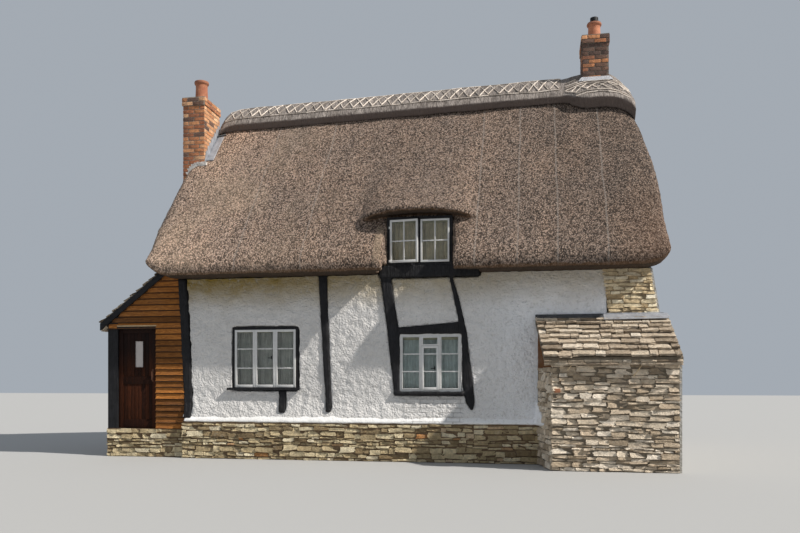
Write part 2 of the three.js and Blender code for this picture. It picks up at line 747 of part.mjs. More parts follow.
function blockBody() {
  const grown = (t) => ({
    foot: mix(CAP.foot, BLOCK.foot, t),
    thick: mix(CAP.thick, BLOCK.thick, t),
    crown: mix(CAP.crown, BLOCK.crown, t),
  });
  const left = BLOCK_START.map(([inset, t]) => ridgeRing(BLOCK.x0 + inset, grown(t), 0));
  const right = RIGHT_END.map(([inset, drop]) => ridgeRing(BLOCK.x1 - inset, BLOCK, drop));
  return loft([...left, ...right.reverse()]);
}

const rightStackRoom = () => planBox(RIGHT_SHAFT, GABLE_OUTER.at(-1)[1] - 1500, RIGHT_SHAFT.top, CUT_GAP);
const leftStackRoom = () => planBox(LEFT_SHAFT, UPPER_FLOOR_TOP, LEFT_SHAFT.top + PAST, CUT_GAP);

function addThatch() {
  const front = cut(joined(slopeBody(), browBody()), windowNotch());
  add("thatch_front", cut(front, rightStackRoom(), leftStackRoom()), "thatch");
  add("thatch_back", cut(mirrored(front), rightStackRoom(), leftStackRoom()), "thatch");
  const cap = joined(capBody(), blockBody());
  const lifted = slopeBody(2 * CUT_GAP);
  add("ridge_cap", cut(cap, lifted, mirrored(lifted), rightStackRoom(), leftStackRoom()), "ridge");
}

// Chimneys
function stackHead(shaft) {
  const { deep, proud } = STACK_HEAD;
  return planBox(shaft, shaft.top - deep, shaft.top - 1, proud);
}

function addLeftChimney() {
  const { x0, y0, y1, foot, top } = LEFT_SHAFT;
  const { y0: breastFront, y1: breastBack, shoulder } = LEFT_BREAST;
  const breast = [
    [breastFront, 0],
    [breastBack, 0],
    [breastBack, shoulder],
    [y1, foot],
    [y0, foot],
    [breastFront, shoulder],
  ];
  const stack = joined(
    prismX(breast, x0, HOUSE_LEFT),
    planBox(LEFT_SHAFT, foot - 1, top),
    stackHead(LEFT_SHAFT),
  );
  add("left_chimney", stack, "brick");
}

function addRightChimney() {
  const { x0, y0, y1, foot, top } = RIGHT_SHAFT;
  const corbel = [
    [GABLE_INNER, RIGHT_CORBEL.foot],
    [GABLE_INNER, foot + 1],
    [x0, foot + 1],
    [x0, RIGHT_CORBEL.knee],
  ];
  const stack = joined(planBox(RIGHT_SHAFT, foot, top), prismY(corbel, y0, y1), stackHead(RIGHT_SHAFT));
  add("right_chimney", stack, "brick");
}

// A turned piece from a profile of radius and height.
function turned(profile, sides) {
  const lathe = new THREE.LatheGeometry(profile.map(([r, z]) => new THREE.Vector2(r, z)), sides);
  return toSolid(lathe.rotateX(Math.PI / 2));
}

function potBody({ radius, height, wall }) {
  const foot = radius * 1.12;
  const profile = [
    [foot - wall, 0],
    [foot, 0],
    [foot * 0.98, height * 0.1],
    [radius * 0.96, height * 0.6],
    [radius * 0.98, height * 0.84],
    [radius * 1.16, height * 0.88],
    [radius * 1.18, height * 0.97],
    [radius * 1.1, height],
    [radius * 1.02 - wall, height],
    [radius * 0.96 - wall, height * 0.6],
    [foot - wall, 0],
  ];
  return turned(profile, 20);
}

function addPots() {
  const over = ({ x0, x1, y0, y1, top }, rise) => [(x0 + x1) / 2, (y0 + y1) / 2, top + rise];
  add("left_chimney_pot", potBody(POT_LEFT), "pot", over(LEFT_SHAFT, CUT_GAP));
  add("right_chimney_pot", potBody(POT_RIGHT), "pot", over(RIGHT_SHAFT, CUT_GAP));
  const { radius, height, wall } = COWL;
  const seat = POT_RIGHT.radius * 1.08;
  const profile = [
    [radius - wall, 0],
    [seat, 0],
    [seat, wall],
    [radius, wall * 2],
    [radius, height],
    [radius - wall, height],
    [radius - wall, 0],
  ];
  add("right_chimney_cowl", turned(profile, 20), "iron", over(RIGHT_SHAFT, POT_RIGHT.height + 2 * CUT_GAP));
}

// Bread oven: a mass of rubble against the front wall, under its own stone-slated roof
function ovenPlan(left, right) {
  return [
    [OVEN.wallLeft + left, -CUT_GAP],
    [OVEN.frontLeft + left, OVEN.front],
    [OVEN.frontRight - right, OVEN.front],
    [OVEN.wallRight - right, -CUT_GAP],
  ];
}

// The upright sheet of some thickness along the oven's left or right side, also reaching out past it.
function ovenSide(side, thick, past = 0) {
  const [wall, front] = side < 0 ? [OVEN.wallLeft, OVEN.frontLeft] : [OVEN.wallRight, OVEN.frontRight];
  const [low, high] = between(side * past, -side * thick);
  return [
    [wall + low, -CUT_GAP],
    [front + low, OVEN.front],
    [front + high, OVEN.front],
    [wall + high, -CUT_GAP],
  ];
}

function addOven() {
  const ovenProfile = [
    [OVEN.front - PAST, 0],
    [PAST, 0],
    [PAST, OVEN_TOP],
    [0, OVEN_TOP],
    [OVEN.front, OVEN_EAVES],
    [OVEN.front - PAST, OVEN_EAVES],
  ];
  const form = prismX(ovenProfile, OVEN.wallLeft - PAST, OVEN.frontRight + PAST);
  const mass = prismZ(ovenPlan(0, RENDER_THICK + CUT_GAP), 0, EAVES).intersect(form);
  const plinthArea = { x0: HOUSE_LEFT, x1: GABLE_INNER, y0: -PLINTH_PROUD, y1: PAST };
  const plinth = planBox(plinthArea, -PAST, PLINTH_TOP + CUT_GAP, CUT_GAP);
  const skirt = prismX(wallProfile(CUT_GAP, WALL), HOUSE_LEFT, GABLE_INNER + CUT_GAP);
  const cheekArea = ovenSide(-1, OVEN_CHEEK.thick + CUT_GAP, PAST);
  const cheekRoom = prismZ(cheekArea, OVEN_CHEEK.foot - CUT_GAP, EAVES);
  add("bread_oven", cut(mass, plinth, skirt, cheekRoom), "rubble");
  const cheek = prismZ(ovenSide(-1, OVEN_CHEEK.thick), OVEN_CHEEK.foot, EAVES).intersect(form);
  add("oven_cheek", cheek, "boards");
  add("oven_render", prismZ(ovenSide(1, RENDER_THICK), 0, EAVES).intersect(form), "limewash");
}

function addOvenRoof() {
  const { thick, overhang, left, wallLeft, right } = OVEN_ROOF;
  const rise = (OVEN_TOP - OVEN_EAVES) / -OVEN.front;
  const low = OVEN.front - overhang;
  const lowZ = OVEN_EAVES - overhang * rise;
  const section = [
    [low, lowZ + CUT_GAP],
    [-CUT_GAP, OVEN_TOP + CUT_GAP],
    [-CUT_GAP, OVEN_TOP + thick],
    [low, lowZ + thick],
  ];
  const plan = [
    [OVEN.wallLeft - wallLeft, 0],
    [OVEN.frontLeft - left, low - 10],
    [OVEN.frontRight + right, low - 10],
    [OVEN.wallRight + right, 0],
  ];
  const slab = prismX(section, OVEN.wallLeft - PAST, OVEN.frontRight + PAST);
  add("oven_roof", slab.intersect(prismZ(plan, 0, EAVES)), "slate");
}

// Lean-to
const leanRoofTop = (x) => LEAN_ROOF.lowTop + LEAN_ROOF.slope * (x - LEAN_ROOF.low);

// An upright panel under the lean-to's roof.
function leanPanel(x0, x1, z0, y0, y1) {
  const head = (x) => leanRoofTop(x) - LEAN_ROOF.thick;
  return prismY([[x0, z0], [x1, z0], [x1, head(x1)], [x0, head(x0)]], y0, y1);
}

// The space of the thatch and the corner post, which the lean-to's pieces stop at.
function houseRoom() {
  const thatch = slopeBody();
  return joined(thatch, moved(thatch, -CUT_GAP, CUT_GAP, -CUT_GAP), cornerSocket());
}

function addLeanTo() {
  const wallX = HOUSE_LEFT - CUT_GAP;
  const rear = LEAN_REAR - CUT_GAP;
  const back = LEAN_FRONT + LEAN_WALL;
  const room = houseRoom();
  add("lean_to_base", box(LEAN_LEFT, wallX, -10, rear, 0, LEAN_FLOOR), "rubble");
  const boards = leanPanel(DOORWAY.x1, wallX, LEAN_FLOOR, LEAN_FRONT, back);
  add("lean_to_boards", cut(boards, room), "boards");
  add("lean_to_head", leanPanel(DOORWAY.x0, DOORWAY.x1, DOORWAY.z1, LEAN_FRONT, back), "boards");
  const inner = LEAN_LEFT + LEAN_WALL;
  const side = joined(
    leanPanel(LEAN_LEFT, inner, LEAN_FLOOR, LEAN_POST_BACK, rear),
    leanPanel(inner - 1, wallX, LEAN_FLOOR, rear - LEAN_WALL, rear),
  );
  add("lean_to_rear_walls", side, "boards");
}

// The door's left post, with the two pins that the door hangs on.
function addDoorPost() {
  const pins = HINGE_HEIGHTS.map((z) => {
    const reach = [z - HINGE.arm, z - CUT_GAP];
    const arm = box(DOORWAY.x0 - 5, HINGE.x, HINGE.y - HINGE.radius, HINGE.y + HINGE.radius, ...reach);
    return joined(arm, bar(HINGE, ...reach));
  });
  const jamb = leanPanel(LEAN_LEFT, DOORWAY.x0, LEAN_FLOOR, 0, LEAN_POST_BACK);
  add("lean_to_post", joined(jamb, ...pins), "tarred");
}

function addLeanToRoof() {
  const wallX = HOUSE_LEFT - CUT_GAP;
  const { low, front, thick, barge, bargeThick } = LEAN_ROOF;
  const outline = (deep) => [
    [low, leanRoofTop(low) - deep],
    [wallX, leanRoofTop(wallX) - deep],
    [wallX, leanRoofTop(wallX)],
    [low, leanRoofTop(low)],
  ];
  const room = houseRoom();
  add("lean_to_roof", cut(prismY(outline(thick - CUT_GAP), front, LEAN_REAR - CUT_GAP), room), "slate");
  add("lean_to_barge", cut(prismY(outline(barge), front - bargeThick, front), room), "tarred");
}

// The plank door, hung on two pins at its left edge; it opens inwards.
function addDoor() {
  const { x0, x1, y0, y1, z0, z1 } = LEAF;
  const straps = HINGE_HEIGHTS.map((z) => {
    const height = [z + STRAP.rise, z + STRAP.rise + STRAP.wide];
    const strap = box(HINGE.x, HINGE.x + STRAP.long, y1 - 1, y1 + STRAP.thick, ...height);
    return joined(bar(HINGE, z, z + HINGE.knuckle), strap);
  });
  const leaf = cut(
    joined(box(x0, x1, y0, y1, z0, z1), ...straps),
    wallBox(PANE, y0 - PAST, y1 - PANE.rebate),
    wallBox(PANE, y0 - PAST, y1 + PAST, -PANE.stop),
  );
  add("door_leaf", leaf, "door");
  const paneY = y1 - PANE.rebate - CUT_GAP;
  add("door_pane", wallBox(PANE, paneY - GLASS_THICK, paneY, -CUT_GAP), "glass");
  const face = y0 - CUT_GAP;
  const middle = x1 - LATCH.inset;
  const grip = { x0: middle - 8, x1: middle + 8, z0: LATCH.z0 + 30, z1: LATCH.z1 - 40 };
  const latch = joined(
    box(middle - 18, middle + 18, face - LATCH.plate, face, LATCH.z0, LATCH.z1),
    wallBox({ ...grip, z1: grip.z0 + 16 }, face - LATCH.reach, face - 1),
    wallBox({ ...grip, z0: grip.z1 - 16 }, face - LATCH.reach, face - 1),
    wallBox(grip, face - LATCH.reach, face - LATCH.reach + 16),
  );
  add("door_latch", latch, "iron");
}

addPlinths();
addFloors();
addFrontWall();
addFrontTimbers();
addBackWall();
addLeftWall();
addRightGable();
addWindows();
addThatch();
addLeftChimney();
addRightChimney();
addPots();
addOven();
addOvenRoof();
addLeanTo();
addDoorPost();
addLeanToRoof();
addDoor();

export default cottage;
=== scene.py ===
"""Thatched cottage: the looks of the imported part, in metres and in the part's own frame.

+X runs to the right along the front wall, +Y runs back into the house, and +Z is up.
"""

import logging
import math
import random
from collections.abc import Callable, Iterable, Iterator, Sequence
from contextlib import contextmanager
from dataclasses import dataclass, field
from enum import Enum
from functools import cache, reduce

import bpy
from mathutils import Matrix, Vector


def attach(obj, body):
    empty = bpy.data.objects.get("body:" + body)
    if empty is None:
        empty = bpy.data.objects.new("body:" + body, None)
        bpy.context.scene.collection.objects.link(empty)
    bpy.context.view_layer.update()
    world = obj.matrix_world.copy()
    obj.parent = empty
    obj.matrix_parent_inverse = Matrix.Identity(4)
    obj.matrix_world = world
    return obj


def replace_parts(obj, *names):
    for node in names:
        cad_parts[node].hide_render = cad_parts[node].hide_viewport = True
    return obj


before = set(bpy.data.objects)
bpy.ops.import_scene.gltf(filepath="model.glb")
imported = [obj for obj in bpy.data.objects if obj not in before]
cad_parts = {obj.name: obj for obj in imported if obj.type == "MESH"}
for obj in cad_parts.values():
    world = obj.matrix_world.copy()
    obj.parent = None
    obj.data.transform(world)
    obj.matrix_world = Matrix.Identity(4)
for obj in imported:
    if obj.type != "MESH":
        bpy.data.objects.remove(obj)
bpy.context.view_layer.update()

log = logging.getLogger("cottage")

Point = tuple[float, float, float]
Colour = tuple[float, float, float]
Box = tuple[float, float, float, float, float, float]
Range = tuple[float, float]
Step = tuple[float, float, float, float]
Opening = Step
Tree = bpy.types.NodeTree
Fitting = tuple[Range, Range, Range]
Stops = tuple[tuple[float, Colour], ...]
Span = Callable[[float], Range]
Node = bpy.types.Node
Piece = bpy.types.Object
Socket = bpy.types.NodeSocket

TINT = "tint"
EVENLY = (1.0, 1.0, 1.0)
DOWN = Vector((0.0, 0.0, -1.0))
SKY = 9.0
TO_RIGHT = (1.0, 0.0, 0.0)
TO_LEFT = (-1.0, 0.0, 0.0)
TO_BACK = (0.0, 1.0, 0.0)
TO_FRONT = (0.0, -1.0, 0.0)

# The house's sizes, as in the part's source
HOUSE_DEPTH = 4.9
RIDGE_Y = HOUSE_DEPTH / 2
HOUSE_LEFT = -4.2
GABLE_INNER = 3.05
PLINTH_TOP = 0.64
PLINTH_PROUD = 0.1
EAVES = 3.15
GABLE_OUTER = ((0.0, 3.955), (1.7, 3.955), (2.38, 3.825), (EAVES, 3.695), (6.5, 3.5))
CORNER_POST_LEFT = ((0.69, -4.194), (1.19, -4.221), (1.9, -4.258), (2.45, -4.292), (EAVES, -4.336))

# The oven's, the left stack's and the lean-to's
OVEN_FRONT = -0.95
OVEN_WALL_LEFT = 1.94
OVEN_FRONT_LEFT = 2.163
OVEN_EAVES = 1.665
OVEN_ROOF_FOOT = (-1.03, 1.674)
OVEN_ROOF_RISE = (0.0, 1.02, 0.671)
BREAST_LEFT = -4.875
BREAST_FRONT = 1.25
BREAST_BACK = 2.15
LEAN_LEFT = -5.68
LEAN_FLOOR = 0.5
LEAN_ROOF_LOW = (-5.812, 2.378)
LEAN_ROOF_SLOPE = 0.774
BOARD_FOOT = 0.51
BOARD_PITCH = 0.105


class Body(Enum):
    """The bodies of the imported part."""

    HOUSE = "house"
    DOOR = "door"


class Slot(Enum):
    """The names of the material slots."""

    LIMEWASH = "limewash"
    RUBBLE = "rubble"
    TIMBER = "tarred_timber"
    THATCH = "thatch"
    RIDGE = "ridge"
    BRICK = "brick"
    POT = "chimney_pot"
    BOARDS = "boards"
    DOOR = "door_paint"
    GLASS = "window_glass"
    IRON = "iron"
    SLATE = "stone_slate"
    WHITE = "white_paint"
    LEAD = "lead"


class Side(Enum):
    """The way a wall of the house faces."""

    FRONT = 1
    BACK = -1


# Node sheets and the effects that finishes share


class NodeSheet:
    """A node tree, with short calls that add nodes and join them."""

    def __init__(self, tree: Tree) -> None:
        """Keeps the tree that is worked on."""
        self.tree = tree

    @property
    def shader(self) -> Node:
        """Gives the shader of the material that this sheet is."""
        return self.tree.nodes["Principled BSDF"]

    def add(self, kind: str, values: dict | None = None, **settings) -> Node:
        """Adds a node.

        Args:
            kind: The node's type.
            values: For each input, by name or number, a value or another node's output.
            **settings: The node's own settings.

        Returns:
            The node.
        """
        node = self.tree.nodes.new(kind)
        for key, value in settings.items():
            setattr(node, key, value)
        for key, value in (values or {}).items():
            if isinstance(value, Socket):
                self.tree.links.new(value, node.inputs[key])
            else:
                node.inputs[key].default_value = value
        return node

    def place(self, stretch: Point = EVENLY) -> Socket:
        """Gives the piece's own coordinates, stretched along its axes."""
        where = self.add("ShaderNodeTexCoord").outputs["Object"]
        return self.add("ShaderNodeMapping", {"Vector": where, "Scale": stretch}).outputs[0]

    def axis(self, name: str) -> Socket:
        """Gives the piece's own X, Y or Z."""
        where = self.add("ShaderNodeTexCoord").outputs["Object"]
        return self.add("ShaderNodeSeparateXYZ", {0: where}).outputs[name]

    def facing(self, name: str) -> Socket:
        """Gives how far the surface faces along X, Y or Z."""
        normal = self.add("ShaderNodeNewGeometry").outputs["Normal"]
        return self.add("ShaderNodeSeparateXYZ", {0: normal}).outputs[name]

    def tint(self) -> Socket:
        """Gives the tint that each laid copy carries."""
        return self.add("ShaderNodeAttribute", attribute_name=TINT).outputs["Fac"]

    def noise(self, vector: Socket, scale: float, detail: float = 3.0) -> Socket:
        """Gives a cloudy value around a half."""
        values = {"Vector": vector, "Scale": scale, "Detail": detail, "Roughness": 0.6}
        return self.add("ShaderNodeTexNoise", values).outputs[0]

    def sums(self, operation: str, a: object, b: object = 0.0) -> Socket:
        """Gives the result of one operation on two values."""
        return self.add("ShaderNodeMath", {0: a, 1: b}, operation=operation).outputs[0]

    def product(self, *values: object) -> Socket:
        """Gives the product of some values."""
        return reduce(lambda a, b: self.sums("MULTIPLY", a, b), values)

    def between(self, value: object, low: object, high: object, start: float = 0.0,
                end: float = 1.0) -> Socket:
        """Gives a smooth step from start to end as the value goes from low to high."""
        values = {"Value": value, "From Min": low, "From Max": high, "To Min": start, "To Max": end}
        return self.add("ShaderNodeMapRange", values, interpolation_type="SMOOTHSTEP").outputs[0]

    def near(self, value: Socket, middle: float, reach: float, core: float) -> Socket:
        """Gives a mask of what lies within some reach of a value, and full within the core."""
        away = self.sums("ABSOLUTE", self.sums("SUBTRACT", value, middle))
        return self.between(away, reach, core)

    def blend(self, share: object, a: Socket, b: Socket) -> Socket:
        """Gives two values mixed by a share."""
        return self.add("ShaderNodeMix", {0: share, 2: a, 3: b}, data_type="FLOAT").outputs[0]

    def mix(self, share: object, a: object, b: object, blend: str = "MIX") -> Socket:
        """Gives two colours mixed by a share."""
        values = {0: share, 6: opaque(a), 7: opaque(b)}
        return self.add("ShaderNodeMix", values, data_type="RGBA", blend_type=blend).outputs[2]

    def shaded(self, colour: Socket, brightness: Socket) -> Socket:
        """Gives a colour multiplied by a brightness."""
        grey = self.add("ShaderNodeCombineXYZ", {0: brightness, 1: brightness, 2: brightness}).outputs[0]
        return self.mix(1.0, colour, grey, "MULTIPLY")

    def layered(self, colour: Socket, *layers: tuple[object, Colour]) -> Socket:
        """Gives a colour with others laid over it.

        Args:
            colour: The lowest colour.
            *layers: For each layer, the share it covers and its colour.

        Returns:
            The colour that shows.
        """
        for share, over in layers:
            colour = self.mix(share, colour, over)
        return colour

    def ramp(self, value: Socket, stops: Stops) -> Socket:
        """Gives a colour from stops.

        Args:
            value: What picks the colour.
            stops: Each stop's place and colour.

        Returns:
            The colour.
        """
        node = self.add("ShaderNodeValToRGB", {0: value})
        band = node.color_ramp.elements
        band[0].position = stops[0][0]
        band[0].color = opaque(stops[0][1])
        band[1].position = stops[-1][0]
        band[1].color = opaque(stops[-1][1])
        for place, colour in stops[1:-1]:
            band.new(place).color = opaque(colour)
        return node.outputs[0]

    def mottled(self, light: Colour, dark: Colour, scale: float, stretch: Point = EVENLY,
                spread: float = 0.2) -> Socket:
        """Gives two colours mixed in cloudy patches."""
        values = {"Vector": self.place(stretch), "Scale": scale, "Light": opaque(light), "Dark": opaque(dark)}
        return self.add("ShaderNodeGroup", values | {"Spread": spread}, node_tree=mottle()).outputs[0]

    def pitted(self, coarse: float, fine: float, share: float, stretch: Point = EVENLY) -> Socket:
        """Gives the height of close, pitted grain."""
        values = {"Vector": self.place(stretch), "Coarse": coarse, "Fine": fine, "Share": share}
        return self.add("ShaderNodeGroup", values, node_tree=stipple()).outputs[0]

    def stained(self, full: float, none: float, ragged: float) -> Socket:
        """Gives the mask of a stain that fades out between two heights."""
        values = {"Vector": self.place(), "Full": full, "None": none, "Ragged": ragged}
        return self.add("ShaderNodeGroup", values, node_tree=tide()).outputs[0]

    def grained(self, stretch: Point) -> Node:
        """Places the effect of wood grain."""
        return self.add("ShaderNodeGroup", {"Vector": self.place(stretch), "Scale": 4.0}, node_tree=grain())

    def given(self, name: str) -> Socket:
        """Gives an input of the node group that this sheet is."""
        return self.tree.nodes["Group Input"].outputs[name]

    def give(self, name: str, value: Socket) -> None:
        """Joins a value to an output of the node group that this sheet is."""
        self.tree.links.new(value, self.tree.nodes["Group Output"].inputs[name])

    def feed(self, colour: Socket, height: Socket, relief: float) -> None:
        """Joins a colour and the bump of a height to the shader.

        Args:
            colour: The colour.
            height: The height.
            relief: How deep the bump is, in metres.
        """
        self.tree.links.new(colour, self.shader.inputs["Base Color"])
        bump = self.add("ShaderNodeBump", {"Height": height, "Distance": relief, "Strength": 1.0})
        self.tree.links.new(bump.outputs[0], self.shader.inputs["Normal"])


def opaque(colour: object) -> object:
    """Gives a colour its fourth number, and passes an output on as it is."""
    return (*colour, 1.0) if isinstance(colour, tuple) else colour


def new_group(name: str, inputs: dict[str, object], outputs: Sequence[str]) -> NodeSheet:
    """Starts a node group.

    Args:
        name: The group's name.
        inputs: Each input's value, or None for a vector.
        outputs: Each output's name, of which Color is a colour and the others are values.

    Returns:
        The group's sheet, with its input and output nodes on it.
    """
    tree = bpy.data.node_groups.new(name, "ShaderNodeTree")
    kinds = {type(None): "NodeSocketVector", float: "NodeSocketFloat", tuple: "NodeSocketColor"}
    for label, value in inputs.items():
        socket = tree.interface.new_socket(label, in_out="INPUT", socket_type=kinds[type(value)])
        if value is not None:
            socket.default_value = value
    for label in outputs:
        kind = kinds[tuple] if label == "Color" else kinds[float]
        tree.interface.new_socket(label, in_out="OUTPUT", socket_type=kind)
    tree.nodes.new("NodeGroupInput")
    tree.nodes.new("NodeGroupOutput")
    return NodeSheet(tree)


@cache
def mottle() -> Tree:
    """Builds the effect that mixes two colours in cloudy patches.

    Returns:
        The effect's node group.
    """
    inputs = {"Vector": None, "Scale": 1.0, "Light": opaque(EVENLY), "Dark": opaque(EVENLY), "Spread": 0.2}
    sheet = new_group("mottle", inputs, ("Color",))
    values = {"Vector": sheet.given("Vector"), "Scale": sheet.given("Scale"), "Detail": 4.0,
              "Roughness": 0.62}
    cloud = sheet.add("ShaderNodeTexNoise", values).outputs[0]
    low = sheet.sums("SUBTRACT", 0.5, sheet.given("Spread"))
    high = sheet.sums("ADD", 0.5, sheet.given("Spread"))
    mask = sheet.add("ShaderNodeMapRange", {"Value": cloud, "From Min": low, "From Max": high}).outputs[0]
    sheet.give("Color", sheet.mix(mask, sheet.given("Dark"), sheet.given("Light")))
    return sheet.tree


@cache
def stipple() -> Tree:
    """Builds the effect of close, pitted grain: a coarse height with a finer one on it.

    Returns:
        The effect's node group.
    """
    inputs = {"Vector": None, "Coarse": 20.0, "Fine": 60.0, "Share": 0.4}
    sheet = new_group("stipple", inputs, ("Height",))
    parts = []
    for label in ("Coarse", "Fine"):
        values = {"Vector": sheet.given("Vector"), "Scale": sheet.given(label), "Detail": 2.0,
                  "Roughness": 0.7}
        parts.append(sheet.between(sheet.add("ShaderNodeTexNoise", values).outputs[0], 0.3, 0.7))
    sheet.give("Height", sheet.blend(sheet.given("Share"), *parts))
    return sheet.tree


@cache
def reed_ends() -> Tree:
    """Builds the effect of packed reed ends: each end's own brightness, and its rounded height.

    Returns:
        The effect's node group.
    """
    sheet = new_group("reed_ends", {"Vector": None, "Scale": 40.0}, ("Value", "Height"))
    finer, finer_share = 2.3, 0.35
    shades, heights = [], []
    for times in (1.0, finer):
        scale = sheet.product(sheet.given("Scale"), times)
        cells = sheet.add("ShaderNodeTexVoronoi", {"Vector": sheet.given("Vector"), "Scale": scale})
        shades.append(sheet.add("ShaderNodeSeparateColor", {0: cells.outputs["Color"]}).outputs["Red"])
        heights.append(sheet.between(cells.outputs["Distance"], 0.75, 0.1))
    sheet.give("Value", sheet.blend(finer_share, *shades))
    sheet.give("Height", sheet.blend(finer_share, *heights))
    return sheet.tree


@cache
def grain() -> Tree:
    """Builds the effect of wood grain along a stretched axis, with darker growth lines.

    Returns:
        The effect's node group.
    """
    sheet = new_group("grain", {"Vector": None, "Scale": 8.0}, ("Mask", "Height"))
    growth_lines = 7.0
    values = {"Vector": sheet.given("Vector"), "Scale": sheet.given("Scale"), "Detail": 5.0,
              "Distortion": 0.6}
    cloud = sheet.add("ShaderNodeTexNoise", values).outputs[0]
    mask = sheet.between(sheet.sums("FRACT", sheet.product(cloud, growth_lines)), 0.0, 0.9)
    sheet.give("Mask", mask)
    sheet.give("Height", sheet.product(mask, cloud))
    return sheet.tree


@cache
def tide() -> Tree:
    """Builds the effect of a stain that fades out between two heights, with a ragged edge.

    Returns:
        The effect's node group.
    """
    sheet = new_group("tide", {"Vector": None, "Full": 0.0, "None": 1.0, "Ragged": 0.3}, ("Mask",))
    height = sheet.add("ShaderNodeSeparateXYZ", {0: sheet.given("Vector")}).outputs["Z"]
    cloud = sheet.noise(sheet.given("Vector"), 2.2, 4.0)
    shift = sheet.product(sheet.sums("SUBTRACT", cloud, 0.5), sheet.given("Ragged"))
    level = sheet.sums("ADD", height, shift)
    sheet.give("Mask", sheet.between(level, sheet.given("None"), sheet.given("Full")))
    return sheet.tree


# Finishes


@dataclass(frozen=True)
class Finish:
    """What every finish has: a name and how rough it is."""

    name: str
    roughness: float = 0.9

    def paint(self, sheet: NodeSheet) -> None:
        """Feeds the shader."""
        raise NotImplementedError


@cache
def material_of(finish: Finish) -> bpy.types.Material:
    """Makes a finish's material, once.

    Args:
        finish: The finish.

    Returns:
        Its material.
    """
    made = bpy.data.materials.new(finish.name)
    made.use_nodes = True
    sheet = NodeSheet(made.node_tree)
    sheet.shader.inputs["Roughness"].default_value = finish.roughness
    finish.paint(sheet)
    return made


@dataclass(frozen=True)
class Reed(Finish):
    """Weathered reed: close stippled ends, paler left and redder right, painted shade between the ends and
    under the eaves.
    """

    warm: Colour = (0.3, 0.2, 0.14)
    grey: Colour = (0.212, 0.152, 0.118)
    bleached: Colour = (0.5, 0.455, 0.41)
    rust: Colour = (0.2, 0.1, 0.055)
    gold: Colour = (0.55, 0.42, 0.28)
    joint: Colour = (0.42, 0.37, 0.33)
    fresh: Colour = (0.5, 0.38, 0.26)
    # The trimmed reed ends' own brown with painted shade on faces that turn down, then near-black painted
    # shade on the eaves' underside.
    cut_and_shade: Colour = (0.17, 0.09, 0.04)
    under: Colour = (0.05, 0.03, 0.016)
    ends_scale: float = 62.0
    pale_left: Step = (-4.6, -1.2, 1.75, 1.0)
    dull_right: Step = (0.6, 3.4, 1.0, 0.7)
    pale_foot: Step = (4.3, 3.3, 1.0, 1.22)
    streaks: Step = (0.3, 0.7, 0.86, 1.12)
    tips: Step = (0.2, 0.8, 0.22, 2.3)
    # Painted shade between the reed ends: darker where an end's rounded height is low.
    painted_gap_shade: Step = (0.1, 0.6, 0.4, 1.1)
    pale_tips: Step = (0.5, 0.8, 0.0, 0.3)
    rust_across: Step = (2.9, 3.9, 0.0, 0.3)
    rust_up: Range = (5.0, 3.3)
    gold_across: Step = (-1.2, -3.6, 0.0, 0.16)
    gold_patches: Range = (0.42, 0.62)
    joints: tuple[float, ...] = (-3.06, -1.91, 0.99, 1.66, 2.29, 3.06)
    joint_width: Range = (0.02, 0.006)
    brow_cheek: tuple[Point, Point] = ((-0.66, 0.08, 0.048), (3.62, 0.4, 0.24))
    cut_and_shade_facing: Step = (-0.42, -0.66, 0.0, 0.7)
    underside_shade_facing: Step = (-0.74, -0.95, 0.0, 0.85)
    relief: float = 0.03

    def paint(self, sheet: NodeSheet) -> None:
        """Feeds the shader.

        Args:
            sheet: The material's nodes.
        """
        values = {"Vector": sheet.place((1.0, 0.6, 0.6)), "Scale": self.ends_scale}
        shade, height = sheet.add("ShaderNodeGroup", values, node_tree=reed_ends()).outputs
        across, up, facing = sheet.axis("X"), sheet.axis("Z"), sheet.facing("Z")
        dull = sheet.between(across, *self.dull_right)
        brightness = sheet.product(
            sheet.between(across, *self.pale_left),
            dull,
            sheet.between(sheet.noise(sheet.place((2.6, 0.22, 0.22)), 1.6), *self.streaks),
            sheet.between(up, *self.pale_foot),
            sheet.between(shade, *self.tips),
            # Painted shade between the reed ends.
            sheet.between(height, *self.painted_gap_shade),
        )
        gold_patches = sheet.between(sheet.noise(sheet.place(), 0.8), *self.gold_patches)
        cheek_across, cheek_up = self.brow_cheek
        cheek = sheet.product(sheet.near(across, *cheek_across), sheet.near(up, *cheek_up), 0.4)
        colour = sheet.layered(
            sheet.shaded(sheet.mottled(self.warm, self.grey, 0.9, (1.0, 0.5, 0.5)), brightness),
            (sheet.product(sheet.between(shade, *self.pale_tips), dull), self.bleached),
            (sheet.product(sheet.between(across, *self.rust_across), sheet.between(up, *self.rust_up)),
             self.rust),
            (sheet.product(sheet.between(across, *self.gold_across), gold_patches), self.gold),
            (sheet.product(self.joint_lines(sheet, across), 0.4), self.joint),
            (cheek, self.fresh),
            # Painted shade: the trimmed ends darker where the faces turn down, darkest under the eaves.
            (sheet.between(facing, *self.cut_and_shade_facing), self.cut_and_shade),
            (sheet.between(facing, *self.underside_shade_facing), self.under),
        )
        sheet.feed(colour, height, self.relief)

    def joint_lines(self, sheet: NodeSheet, across: Socket) -> Socket:
        """Gives a mask of the thin upright lines where two strips of reed meet.

        Args:
            sheet: The material's nodes.
            across: The place along the roof.

        Returns:
            The mask.
        """
        wave = sheet.product(sheet.noise(sheet.place((0.2, 0.8, 0.8)), 1.3), 0.08)
        wavy = sheet.sums("ADD", across, wave)
        lines = [sheet.near(wavy, place, *self.joint_width) for place in self.joints]
        return reduce(lambda a, b: sheet.sums("MAXIMUM", a, b), lines)


